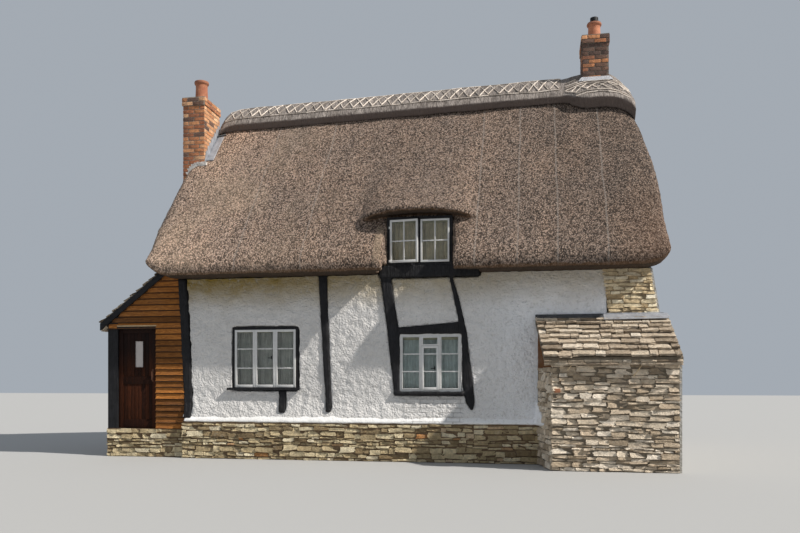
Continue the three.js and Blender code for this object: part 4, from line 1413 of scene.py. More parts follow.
@dataclass(frozen=True)
class Rubble:
    """Rubble in thin, uneven courses."""

    heights: Range = (0.035, 0.115)
    lengths: Range = (0.09, 0.3)
    joint: float = 0.012
    out: Range = (0.004, 0.028)
    deep: float = 0.1
    wave: float = 0.02
    wave_ease: float = 0.12
    yaw: float = 0.2
    lean: Range = (-0.02, 0.32)
    turn: Range = (-0.05, 0.05)
    foot: Range = (-0.05, 0.12)
    head: Range = (-0.05, 0.14)
    least_rise: float = 0.02
    least_length: float = 0.03
    least_end: float = 0.06
    straight_length: float = 0.16
    seed: int = 1

    def shift(self, u: float, v: float, height: float) -> float:
        """Gives how far a wavy course has risen at some place, none at the face's foot and head."""
        swing = math.sin(u * 2.6 + self.seed) + 0.6 * math.sin(u * 6.1 + 3.0 * v + self.seed)
        return self.wave * swing * min(1.0, v / self.wave_ease, max(0.0, height - v) / self.wave_ease)

    def spots(self, face: Face, span: Span | None = None) -> list[Spot]:
        """Lays stones over a face.

        Args:
            face: The face.
            span: The stones' ends along it at each height.

        Returns:
            Each stone's spot.
        """
        draw = random.Random(self.seed)
        span = span or face.whole
        made: list[Spot] = []
        low = 0.0
        while low < face.height - self.least_rise:
            rise = min(draw.uniform(*self.heights), face.height - low)
            start, end = span(low + rise / 2)
            at = start - draw.uniform(0.0, 0.05)
            while at < end - self.least_length:
                length = draw.uniform(*self.lengths) * (0.7 + 4 * rise)
                stop = min(at + length, end)
                if end - stop < self.least_end:
                    stop = end
                u = (max(at, start), stop - self.joint)
                middle = (u[0] + u[1]) / 2
                foot = self.shift(middle, low, face.height) + rise * draw.uniform(*self.foot)
                head = self.shift(middle, low + rise, face.height) - rise * draw.uniform(*self.head)
                v = (low + foot, low + rise - self.joint + head)
                turn, tilt = draw.uniform(*self.turn), draw.uniform(*self.lean)
                tint, which, yaw = draw.random(), draw.randrange(99), draw.uniform(-0.4 * self.yaw, self.yaw)
                yaw *= min(1.0, self.straight_length / (u[1] - u[0]))
                made.append(face.spot(u, v, draw.uniform(*self.out), self.deep, turn, tilt, tint, which, yaw))
                at = stop
            low += rise
        return made


@dataclass(frozen=True)
class Bond:
    """Bricks in level courses, each course half a brick on from the last."""

    brick: float = 0.215
    course: float = 0.075
    joint: float = 0.013
    out: float = 0.006
    uneven: Range = (-0.0015, 0.0025)
    turn: Range = (-0.008, 0.008)
    deep: float = 0.05
    dark: float = 0.14
    dark_tints: Range = (0.0, 0.14)
    tints: Range = (0.28, 0.92)
    least: float = 0.03
    seed: int = 5

    def spots(self, face: Face) -> list[Spot]:
        """Lays bricks over a face.

        Args:
            face: The face.

        Returns:
            Each brick's spot.
        """
        draw = random.Random(self.seed)
        made: list[Spot] = []
        rows = round(face.height / self.course)
        step = face.height / rows
        for row in range(rows):
            at = -0.5 * (row % 2) * (self.brick + self.joint)
            while at < face.width - 0.02:
                u = (max(at, 0.0), min(at + self.brick, face.width))
                v = (row * step, row * step + step - self.joint)
                out = self.out + draw.uniform(*self.uneven)
                tints = self.dark_tints if draw.random() < self.dark else self.tints
                tint = draw.uniform(*tints)
                turn, which = draw.uniform(*self.turn), draw.randrange(99)
                if u[1] - u[0] > self.least:
                    made.append(face.spot(u, v, out, self.deep, turn, 0.0, tint, which))
                at += self.brick + self.joint
        return made


@dataclass(frozen=True)
class Lapped:
    """Slates that lap over the course below, each leaning out at its foot."""

    exposures: tuple[float, ...]
    lengths: Range
    thick: float
    lap: float
    lift: float
    joint: float = 0.006
    ragged: float = 0.01
    eaves_lengths: Range = (0.12, 0.32)
    eaves_thick: float = 0.032
    least: float = 0.03
    seed: int = 3

    def spots(self, face: Face, span: Span | None = None) -> list[Spot]:
        """Lays lapped courses over a face.

        Args:
            face: The face.
            span: A course's ends along it at each height.

        Returns:
            The spot of each slate.
        """
        draw = random.Random(self.seed)
        span = span or face.whole
        made: list[Spot] = []
        low = 0.0
        for exposure in self.exposures:
            start, end = span(low + exposure / 2)
            at = start - draw.uniform(0.0, self.lengths[0] * 0.5)
            tilt = math.asin(min(0.5, (self.lift + self.thick) / (exposure + self.lap)))
            while at < end - self.least:
                stop = min(at + draw.uniform(*self.lengths), end)
                if end - stop < self.lengths[0] * 0.4:
                    stop = end
                foot = low + draw.uniform(-self.ragged, self.ragged)
                u, v = (max(at, start), stop - self.joint), (foot, low + exposure + self.lap)
                out = 0.8 * (self.lift + self.thick + draw.uniform(-0.3, 0.9) * self.lift)
                turn = draw.uniform(-1.6, 1.6) * self.ragged
                made.append(face.spot(u, v, out, self.thick, turn, tilt, draw.random(), draw.randrange(99)))
                at = stop
            low += exposure
        return made

    def eaves(self, face: Face, ends: Range, levels: tuple[float, ...], seed: int) -> list[Spot]:
        """Lays short courses under the lowest slates, over the roof's edge.

        Args:
            face: The roof's face.
            ends: The courses' ends along it.
            levels: How far under the face each course lies.
            seed: The seed of their unevenness.

        Returns:
            Each slate's spot.
        """
        draw = random.Random(seed)
        made = []
        steepness = face.up[2] / math.hypot(face.up[0], face.up[1])
        for level in levels:
            at = ends[0]
            while at < ends[1] - self.least:
                stop = min(at + draw.uniform(*self.eaves_lengths), ends[1])
                edge = -level * steepness
                u, v = (at, stop - 0.008), (edge - draw.uniform(0.01, 0.034), edge + 0.12)
                depth, turn = level + draw.uniform(0.0, 0.004), draw.uniform(-0.02, 0.02)
                tint, which = draw.random(), draw.randrange(99)
                made.append(face.spot(u, v, -depth, self.eaves_thick, turn, 0.0, tint, which))
                at = stop
        return made


# Sub-assemblies


@dataclass
class Thatch:
    """The two thatched slopes with their eyebrows, and the straw ridge with its hazel rods."""

    slopes: tuple[tuple[str, str, float], ...] = (
        ("thatch_front", "reed_front", 0.036),
        ("thatch_back", "reed_back", 0.05),
    )
    reed_swells: tuple[Swell, ...] = (Swell(0.9, 0.045), Swell(0.07, 0.02, depth=1))
    ridge_voxel: float = 0.028
    straw_swells: tuple[Swell, ...] = (Swell(0.5, 0.025), Swell(0.06, 0.014, depth=1))
    cap: Range = (-4.3, 2.42)
    block: Range = (2.46, 3.58)
    cap_runs: tuple[float, ...] = (0.415, 0.09)
    cap_cross: Range = (0.395, 0.12)
    block_runs: tuple[float, ...] = (0.635, 0.595, 0.455, 0.41, 0.37, 0.3)
    block_cross: Range = (0.57, 0.47)
    rod_radius: float = 0.011
    rod_step: float = 0.19
    rod_wobble: float = 0.02
    longest_rod: float = 0.4
    ridge: Piece | None = field(default=None, init=False)

    def build(self) -> None:
        """Builds the slopes, the ridge and its rods."""
        for node, name, voxel in self.slopes:
            slope = copied(node, name)
            worn(slope, voxel, self.reed_swells)
            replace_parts(finished(slope, REED), node)
        self.ridge = copied("ridge_cap", "ridge_straw")
        worn(self.ridge, self.ridge_voxel, self.straw_swells)
        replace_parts(finished(self.ridge, STRAW), "ridge_cap")
        self.build_rods()

    def on_ridge(self, x: float, out: float, side: Side) -> Vector | None:
        """Gives the point just over the ridge's face, some way along it and out from its middle."""
        return surface_under(self.ridge, x, RIDGE_Y - side.value * out, self.rod_radius * 0.8)

    def run_ends(self, side: Side, ends: Range, runs: Sequence[float], cross: Range,
                 draw: random.Random) -> list[tuple[Vector | None, Vector | None]]:
        """Gives the ends of the rods of one stretch of ridge: level runs, and pairs that cross.

        Args:
            side: The slope.
            ends: The stretch's ends along the ridge.
            runs: How far out each level run lies.
            cross: How far out the crossed rods reach, from and to.
            draw: Where their unevenness is drawn from.

        Returns:
            The two ends of each rod.
        """
        made = []
        low, high = cross
        for step in range(round((ends[1] - ends[0]) / self.rod_step)):
            a = ends[0] + step * self.rod_step
            b = a + self.rod_step
            for run in runs:
                made.append((self.on_ridge(a, run, side), self.on_ridge(b, run, side)))
            for start, stop in ((low, high), (high, low)):
                wobble = draw.uniform(-self.rod_wobble, self.rod_wobble)
                middle = self.on_ridge((a + b) / 2 + wobble, (low + high) / 2, side)
                made.append((self.on_ridge(a + wobble, start, side), middle))
                made.append((middle, self.on_ridge(b + wobble, stop, side)))
        return made

    def build_rods(self) -> None:
        """Builds the rods of the cap and of the block at its right end."""
        master = added(bpy.ops.mesh.primitive_cylinder_add, "rod", vertices=6, radius=1.0, depth=1.0)
        draw = random.Random(11)
        spots: list[Spot] = []
        for side in Side:
            ends = self.run_ends(side, self.cap, self.cap_runs, self.cap_cross, draw)
            ends += self.run_ends(side, self.block, self.block_runs, self.block_cross, draw)
            for start, end in ends:
                if start is not None and end is not None and (end - start).length < self.longest_rod:
                    spots.append(Spot(stick(start, end, self.rod_radius), draw.random()))
        coursed("ridge_rods", [master], spots, HAZEL, 70)
        discard(master)


@dataclass
class Walls:
    """The limewashed walls, the lip of limewash on the plinth, and the floors."""

    walls: tuple[tuple[str, tuple[str, ...], float, Limewash], ...] = (
        ("front_limewash", ("front_wall",), 0.03, WHITEWASH),
        ("back_limewash", ("back_wall",), 0.044, WHITEWASH),
        ("left_limewash", ("left_gable", "left_wall_front", "left_wall_rear"), 0.044, LEFT_WASH),
    )
    swells: tuple[Swell, ...] = (Swell(0.7, 0.016, 0.62), Swell(0.11, 0.034, 0.72))
    lip_ends: Range = (-4.19, 2.0)
    lip_foot: float = 0.628
    lip_back: float = 0.09
    lip_steps: tuple[Range, ...] = (
        (-0.12, 0.672), (-0.096, 0.696), (-0.072, 0.72), (-0.048, 0.756), (-0.024, 0.804), (-0.006, 0.876),
    )
    lip_voxel: float = 0.024
    lip_swells: tuple[Swell, ...] = (Swell(0.25, 0.02), Swell(0.07, 0.008, depth=1))

    def build(self) -> None:
        """Builds each wall with its rough limewash."""
        for name, nodes, voxel, finish in self.walls:
            wall = joined([copied(node, name) for node in nodes], name)
            worn(wall, voxel, self.swells)
            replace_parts(finished(wall, finish), *nodes)
        self.add_lip()
        dress_nodes(GABLE_WASH, "gable_render", "oven_render")
        dress_nodes(FLOOR_BOARD, "ground_floor", "upper_floor")

    def add_lip(self) -> None:
        """Adds the limewash that spreads over the plinth's head, and in steps along the oven's side."""
        left, right = self.lip_ends
        boxes: list[Box] = [(left, right, y, self.lip_back, self.lip_foot, top) for y, top in self.lip_steps]
        for number in range(5):
            y = -0.1 * number
            x = OVEN_WALL_LEFT - 0.235 * y
            boxes.append((x - 0.035, x + 0.03, y - 0.11, y + 0.01, self.lip_foot, 1.02 - 0.08 * number))
        lip = bars("limewash_lip", boxes)
        worn(lip, self.lip_voxel, self.lip_swells, 0.6, 6)
        finished(lip, LIP_WASH)


@dataclass
class Timbers:
    """The tarred timbers, hewn uneven."""

    nodes: tuple[str, ...] = ("corner_post", "middle_post", "stub_post", "bay_frame", "back_frame")
    voxel: float = 0.017
    swells: tuple[Swell, ...] = (
        Swell(0.4, 0.02, 0.45), Swell(0.11, 0.016, 0.36), Swell(0.03, 0.004, depth=1),
    )

    def build(self) -> None:
        """Builds each timber."""
        for node in self.nodes:
            timber = copied(node, f"{node}_oak")
            worn(timber, self.voxel, self.swells, passes=2)
            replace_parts(finished(timber, TAR), node)


@dataclass
class Masonry:
    """The rubble of the plinths, the gable, the oven and the lean-to's base."""

    variants: int = 7
    cuts: int = 2
    wobble: float = 0.13
    plinth_end: float = 2.0
    base_front: float = -0.01
    gable_left: float = 2.95
    gable_joint: tuple[float, float, float] = (3.075, 2.38, 0.149)
    gable_reach: float = 0.01
    masters: list[Piece] = field(default_factory=list, init=False)

    def build(self) -> None:
        """Lays every face of rubble."""
        self.masters = [rough_block(self.cuts, self.wobble, seed + 1) for seed in range(self.variants)]
        self.lay_plinths()
        self.lay_gable()
        self.lay_oven()
        dress_nodes(BROWN_EARTH, "front_plinth", "back_plinth", "left_plinth", "lean_to_base")
        dress_nodes(CREAM_MORTAR, "right_gable")
        dress_nodes(EARTH, "bread_oven")
        discard(*self.masters)

    def lay_plinths(self) -> None:
        """Lays the plinths' stones and those of the lean-to's base."""
        behind, length = HOUSE_DEPTH + PLINTH_PROUD, self.plinth_end - HOUSE_LEFT
        faces = {
            "front": Face((HOUSE_LEFT, -PLINTH_PROUD, 0.0), TO_RIGHT, length, PLINTH_TOP),
            "back": Face((GABLE_INNER, behind, 0.0), TO_LEFT, GABLE_INNER - HOUSE_LEFT, PLINTH_TOP),
            "left": Face((HOUSE_LEFT, behind, 0.0), TO_FRONT, behind - BREAST_BACK, PLINTH_TOP),
        }
        for number, (name, face) in enumerate(faces.items()):
            spots = Rubble(seed=21 + number).spots(face)
            coursed(f"{name}_plinth_stones", self.masters, spots, PLINTH_STONE)
        base = (
            Face((LEAN_LEFT, self.base_front, 0.0), TO_RIGHT, HOUSE_LEFT - LEAN_LEFT, LEAN_FLOOR),
            Face((LEAN_LEFT, BREAST_FRONT, 0.0), TO_FRONT, BREAST_FRONT - self.base_front, LEAN_FLOOR),
            Face((BREAST_LEFT, BREAST_FRONT, 0.0), TO_LEFT, BREAST_LEFT - LEAN_LEFT, LEAN_FLOOR),
        )
        spots = [spot for number, face in enumerate(base) for spot in Rubble(seed=30 + number).spots(face)]
        coursed("lean_to_base_stones", self.masters, spots, PLINTH_STONE)

    def front_span(self, height: float) -> Range:
        """Gives the edges of the gable's front at some height, from its lower corner.

        Args:
            height: The height.

        Returns:
            Its left and right edges.
        """
        joint, straight_to, lean = self.gable_joint
        left = joint - max(0.0, height - straight_to) * lean
        return left - self.gable_left, track(GABLE_OUTER, height) - self.gable_left + self.gable_reach

    def back_span(self, height: float) -> Range:
        """Gives the edges of the gable's back at some height, from its outer corner."""
        outer = GABLE_OUTER[0][1]
        return outer - track(GABLE_OUTER, height) - self.gable_reach, outer - GABLE_INNER

    def lay_gable(self) -> None:
        """Lays the stones that show at the gable's front and back."""
        outer = GABLE_OUTER[0][1]
        front = Face((self.gable_left, 0.0, 0.0), TO_RIGHT, outer - self.gable_left, EAVES)
        back = Face((outer, HOUSE_DEPTH, 0.0), TO_LEFT, outer - GABLE_INNER, EAVES)
        sides = ((41, "front", front, self.front_span), (42, "back", back, self.back_span))
        for seed, side, face, span in sides:
            rubble = Rubble(heights=(0.035, 0.095), joint=0.008, out=(0.006, 0.02), yaw=0.24,
                            lean=(0.0, 0.32), seed=seed)
            spots = rubble.spots(face, span)
            coursed(f"gable_{side}_stones", self.masters, spots, GABLE_STONE)

    def lay_oven(self) -> None:
        """Lays the oven's front and left side."""
        width = 1.817
        front = Face((OVEN_FRONT_LEFT, OVEN_FRONT, 0.0), TO_RIGHT, width, OVEN_EAVES)
        rubble = Rubble(heights=(0.03, 0.105), lengths=(0.13, 0.34), joint=0.007, out=(0.004, 0.025),
                        yaw=0.32, lean=(0.0, 0.38), seed=51)
        spots = rubble.spots(front, lambda _: (-0.025, width))
        way = Vector((OVEN_FRONT_LEFT - OVEN_WALL_LEFT, OVEN_FRONT, 0.0))
        side = Face((OVEN_WALL_LEFT, 0.0, 0.0), tuple(way), way.length, 1.56)
        rubble = Rubble(heights=(0.035, 0.12), joint=0.006, seed=52)
        spots += rubble.spots(side, lambda _: (0.1, way.length - 0.01))
        coursed("oven_stones", self.masters, spots, OVEN_STONE)


@dataclass
class Slating:
    """The stone slates on the oven and on the lean-to."""

    variants: int = 5
    cuts: int = 3
    wobble: float = 0.085
    oven_left: float = 1.9
    oven_width: float = 2.12
    oven_exposures: tuple[float, ...] = (0.19, 0.175, 0.165, 0.155, 0.145, 0.14, 0.13, 0.12)
    oven_edges: Range = (0.133, 0.045)
    lean_run: float = 1.3
    lean_width: float = 1.27
    masters: list[Piece] = field(default_factory=list, init=False)

    def build(self) -> None:
        """Lays the slates of both roofs."""
        self.masters = [rough_block(self.cuts, self.wobble, seed + 40) for seed in range(self.variants)]
        self.lay_oven_roof()
        self.lay_lean_to_roof()
        dress_nodes(EARTH, "oven_roof", "lean_to_roof")
        discard(*self.masters)

    def lay_oven_roof(self) -> None:
        """Lays the oven's slates in courses that diminish upwards."""
        length = Vector(OVEN_ROOF_RISE).length
        left, right = self.oven_edges
        face = Face((self.oven_left, *OVEN_ROOF_FOOT), TO_RIGHT, self.oven_width, length, OVEN_ROOF_RISE)

        def span(up: float) -> Range:
            """Gives the roof's left and right edges some way up it."""
            return left * (1 - up / length), self.oven_width - right * up / length

        lapped = Lapped(self.oven_exposures, (0.12, 0.36), 0.034, 0.07, 0.024, joint=0.014,
                        ragged=0.036, seed=61)
        spots = lapped.eaves(face, (left, self.oven_width), (0.008, 0.042), 63)
        spots += lapped.spots(face, span)
        coursed("oven_slates", self.masters, spots, SLATE_STONE)

    def lay_lean_to_roof(self) -> None:
        """Lays the lean-to's slates up to the thatch."""
        low, top = LEAN_ROOF_LOW
        rise = (self.lean_run, 0.0, self.lean_run * LEAN_ROOF_SLOPE)
        face = Face((low, BREAST_FRONT, top), TO_FRONT, self.lean_width, Vector(rise).length, rise)
        lapped = Lapped((0.15,) * 10, (0.14, 0.34), 0.024, 0.08, 0.016, joint=0.01, seed=62)
        spots = lapped.eaves(face, (0.0, self.lean_width), (0.008, 0.042, 0.076), 64) + lapped.spots(face)
        coursed("lean_to_slates", self.masters, spots, SLATE_STONE)


@dataclass
class Stacks:
    """The two brick stacks, their flaunching, lead and pots."""

    breast: Box = (BREAST_LEFT, HOUSE_LEFT, BREAST_FRONT, BREAST_BACK, 0.0, 4.4)
    shaft: Box = (BREAST_LEFT, -4.44, 1.34, 2.06, 4.75, 6.72)
    head: Box = (-4.891, -4.424, 1.324, 2.076, 6.719, 6.875)
    right_shaft: Box = (2.775, 3.245, 2.11, 2.79, 6.94, 7.69)
    right_head: Box = (2.759, 3.261, 2.094, 2.806, 7.689, 7.845)
    lit: Range = (0.7, 1.0)
    skirt: Box = (2.69, 3.33, 2.03, 2.87, 6.96, 7.055)
    pots: tuple[tuple[str, float, float, Point, float], ...] = (
        ("left", 0.12, 0.43, (-4.6575, 1.7, 6.8803), 1.0),
        ("right", 0.118, 0.35, (3.01, 2.45, 7.8503), 1.32),
    )
    pot_rings: tuple[Range, ...] = (
        (1.12, 0.0), (1.12, 0.04), (1.06, 0.09), (1.0, 0.35), (0.96, 0.62), (0.96, 0.8), (1.0, 0.84),
        (1.12, 0.86), (1.18, 0.9), (1.18, 0.95), (1.12, 0.99), (1.02, 1.0), (0.88, 0.99), (0.8, 0.9),
        (0.78, 0.6), (0.9, 0.0),
    )
    bed_rings: tuple[Range, ...] = (
        (0.215, -0.003), (0.19, 0.02), (0.15, 0.045), (0.125, 0.04), (0.12, -0.003),
    )
    masters: list[Piece] = field(default_factory=list, init=False)

    def build(self) -> None:
        """Builds both stacks."""
        self.masters = [bevelled_block(0.05, 0.025, seed + 70) for seed in range(4)]
        self.lay_left()
        self.lay_right()
        dress_nodes(BRICK_MORTAR, "left_chimney")
        dress_nodes(SOOTY_MORTAR, "right_chimney")
        discard(*self.masters)
        self.add_pots()
        self.add_skirt()
        thatch = bpy.data.objects["reed_front"]
        self.add_apron(thatch)
        self.add_lead_and_fillet(thatch)

    def faces(self, box: Box) -> list[Face]:
        """Gives the four faces of a square shaft.

        Args:
            box: The shaft's box.

        Returns:
            Its front, right, back and left.
        """
        x0, x1, y0, y1, z0, z1 = box
        return [
            Face((x0, y0, z0), TO_RIGHT, x1 - x0, z1 - z0),
            Face((x1, y0, z0), TO_BACK, y1 - y0, z1 - z0),
            Face((x1, y1, z0), TO_LEFT, x1 - x0, z1 - z0),
            Face((x0, y1, z0), TO_FRONT, y1 - y0, z1 - z0),
        ]

    def lay_left(self) -> None:
        """Lays the left stack: its breast, its shoulders, its shaft and its head."""
        left, _, front, back, _, shoulder = self.breast
        inset, rise = self.shaft[2] - front, self.shaft[4] - shoulder
        width, length = self.shaft[1] - left, math.hypot(inset, rise)
        spots: list[Spot] = []
        for number, face in enumerate(self.faces(self.breast)):
            if number != 1:
                spots += Bond(seed=80 + number).spots(face)
        slopes = (
            Face((left, front, shoulder), TO_RIGHT, width, length, (0.0, inset, rise)),
            Face((self.shaft[1], back, shoulder), TO_LEFT, width, length, (0.0, -inset, rise)),
        )
        for face in slopes:
            spots += Bond(seed=86).spots(face)
        spots += Bond(seed=87).spots(Face((left, back - 0.05, shoulder), TO_FRONT, back - front - 0.1, rise))
        for number, face in enumerate(self.faces(self.shaft)):
            spots += Bond(seed=90 + number, tints=self.lit if number == 1 else Bond.tints).spots(face)
        for number, face in enumerate(self.faces(self.head)):
            spots += Bond(seed=95 + number, out=0.007).spots(face)
        coursed("left_stack_bricks", self.masters, spots, RED_BRICK, 30)

    def lay_right(self) -> None:
        """Lays the right stack's bricks above the ridge, and its head."""
        spots: list[Spot] = []
        for number, face in enumerate(self.faces(self.right_shaft)):
            spots += Bond(seed=100 + number, dark=0.76, tints=(0.2, 0.7)).spots(face)
        for number, face in enumerate(self.faces(self.right_head)):
            spots += Bond(seed=105 + number, out=0.007, dark=0.4).spots(face)
        coursed("right_stack_bricks", self.masters, spots, RED_BRICK, 30)

    def add_pots(self) -> None:
        """Adds each pot with its flaunching, and dresses the right one's cowl."""
        for side, radius, height, middle, paler in self.pots:
            pot = turned(f"{side}_pot", [(radius * r, height * z) for r, z in self.pot_rings], middle)
            tones = (Terracotta.light, Terracotta.dark)
            light, dark = (tuple(part * paler for part in tone) for tone in tones)
            clay = Terracotta(f"{side}_pot_clay", 0.85, middle[2] + height, light, dark)
            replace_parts(finished(pot, clay), f"{side}_chimney_pot")
            finished(turned(f"{side}_pot_flaunching", self.bed_rings, middle, 28), BRICK_MORTAR)
        dress_nodes(IRON, "right_chimney_cowl")

    def add_skirt(self) -> None:
        """Adds the pale skirt round the foot of the right stack, drawn in at its head."""
        skirt = added(bpy.ops.mesh.primitive_cube_add, "right_stack_skirt", size=1.0)
        skirt.data.transform(box_matrix(self.skirt))
        with edited():
            bpy.ops.mesh.select_all(action="DESELECT")
        for vertex in skirt.data.vertices:
            vertex.select = vertex.co.z > 7.0
        bpy.ops.object.mode_set(mode="EDIT")
        bpy.ops.transform.resize(value=(0.78, 0.85, 1.0), center_override=(3.01, 2.45, 7.05))
        bpy.ops.mesh.select_all(action="SELECT")
        bpy.ops.mesh.subdivide(number_cuts=5)
        bpy.ops.object.mode_set(mode="OBJECT")
        Swell(0.08, 0.016, depth=1).roughen(skirt)
        smooth(skirt, 40)
        finished(skirt, LIME_MORTAR)

    def add_apron(self, thatch: Piece) -> None:
        """Adds the lead sheet between the left stack and the thatch.

        Args:
            thatch: The front slope.
        """
        apron = added(bpy.ops.mesh.primitive_grid_add, "left_stack_apron", x_subdivisions=8,
                      y_subdivisions=20, size=1.0, location=(-4.348, 1.645, 7.0))
        bpy.ops.transform.resize(value=(0.18, 0.57, 1.0))
        bpy.ops.object.transform_apply(location=True, rotation=True, scale=True)
        applied(apron, "SHRINKWRAP", target=thatch, wrap_method="PROJECT", use_project_z=True,
                use_positive_direction=False, use_negative_direction=True, offset=0.014)
        applied(apron, "SMOOTH", factor=0.6, iterations=8)
        applied(apron, "SOLIDIFY", thickness=0.006, offset=1.0)
        smooth(apron)
        finished(apron, LEAD)

    def add_lead_and_fillet(self, thatch: Piece) -> None:
        """Adds the lead fingers on the stack's bricks, two lead rolls, the upper one dark as painted shadow
        too, and the mortar fillet at its front.

        Args:
            thatch: The front slope.
        """
        draw = random.Random(14)
        fingers: list[Matrix] = []
        for number in range(8):
            y = 1.39 + number * 0.08
            low = surface_under(thatch, -4.4, y)
            if low is not None:
                size = Vector((0.012, 0.055, 0.28 + draw.uniform(-0.03, 0.03)))
                turn = Matrix.Rotation(math.radians(-14), 3, "X").to_quaternion()
                fingers.append(Matrix.LocRotScale(Vector((-4.426, y, low.z + 0.085)), turn, size))
        finished(bars("left_stack_fingers", fingers, 0.002), LEAD)
        # A lead roll at the apron's top, in dark lead that also paints the shadow under its curl.
        roll = stick(Vector((-4.45, 1.9, 6.26)), Vector((-4.25, 1.95, 6.32)), 0.03)
        finished(bars("apron_roll", [roll], 0.01), DARK_LEAD)
        lumps: list[Spot] = []
        for number in range(12):
            low = surface_under(thatch, -4.42 - number * 0.036, 1.315)
            if low is not None:
                turn = Matrix.Rotation(draw.uniform(-0.4, 0.4), 3, "Y").to_quaternion()
                size = Vector((0.085, 0.08, draw.uniform(0.05, 0.085)))
                lumps.append(Spot(Matrix.LocRotScale(low + Vector((0.0, 0.0, 0.005)), turn, size)))
        foot, head = surface_under(thatch, -4.8, 1.31), surface_under(thatch, -4.68, 1.31)
        if foot is not None and head is not None:
            out = Vector((0.0, -0.02, 0.02))
            roll = stick(foot + out, head + out, 0.035)
            finished(bars("fillet_foot", [roll], 0.01), DARK_LEAD)
        master = rough_block(2, 0.12, 4)
        coursed("left_stack_fillet", [master], lumps, PALE_MORTAR, 60)
        discard(master)


@dataclass(frozen=True)
class Light:
    """One light of a window: its share of the width, its stiles and panes, and how far it stands open."""

    share: float
    stile: float = 0.04
    rows: int = 3
    columns: int = 1
    top_light: float = 0.0
    proud: float = 0.0
    open_degrees: float = 0.0


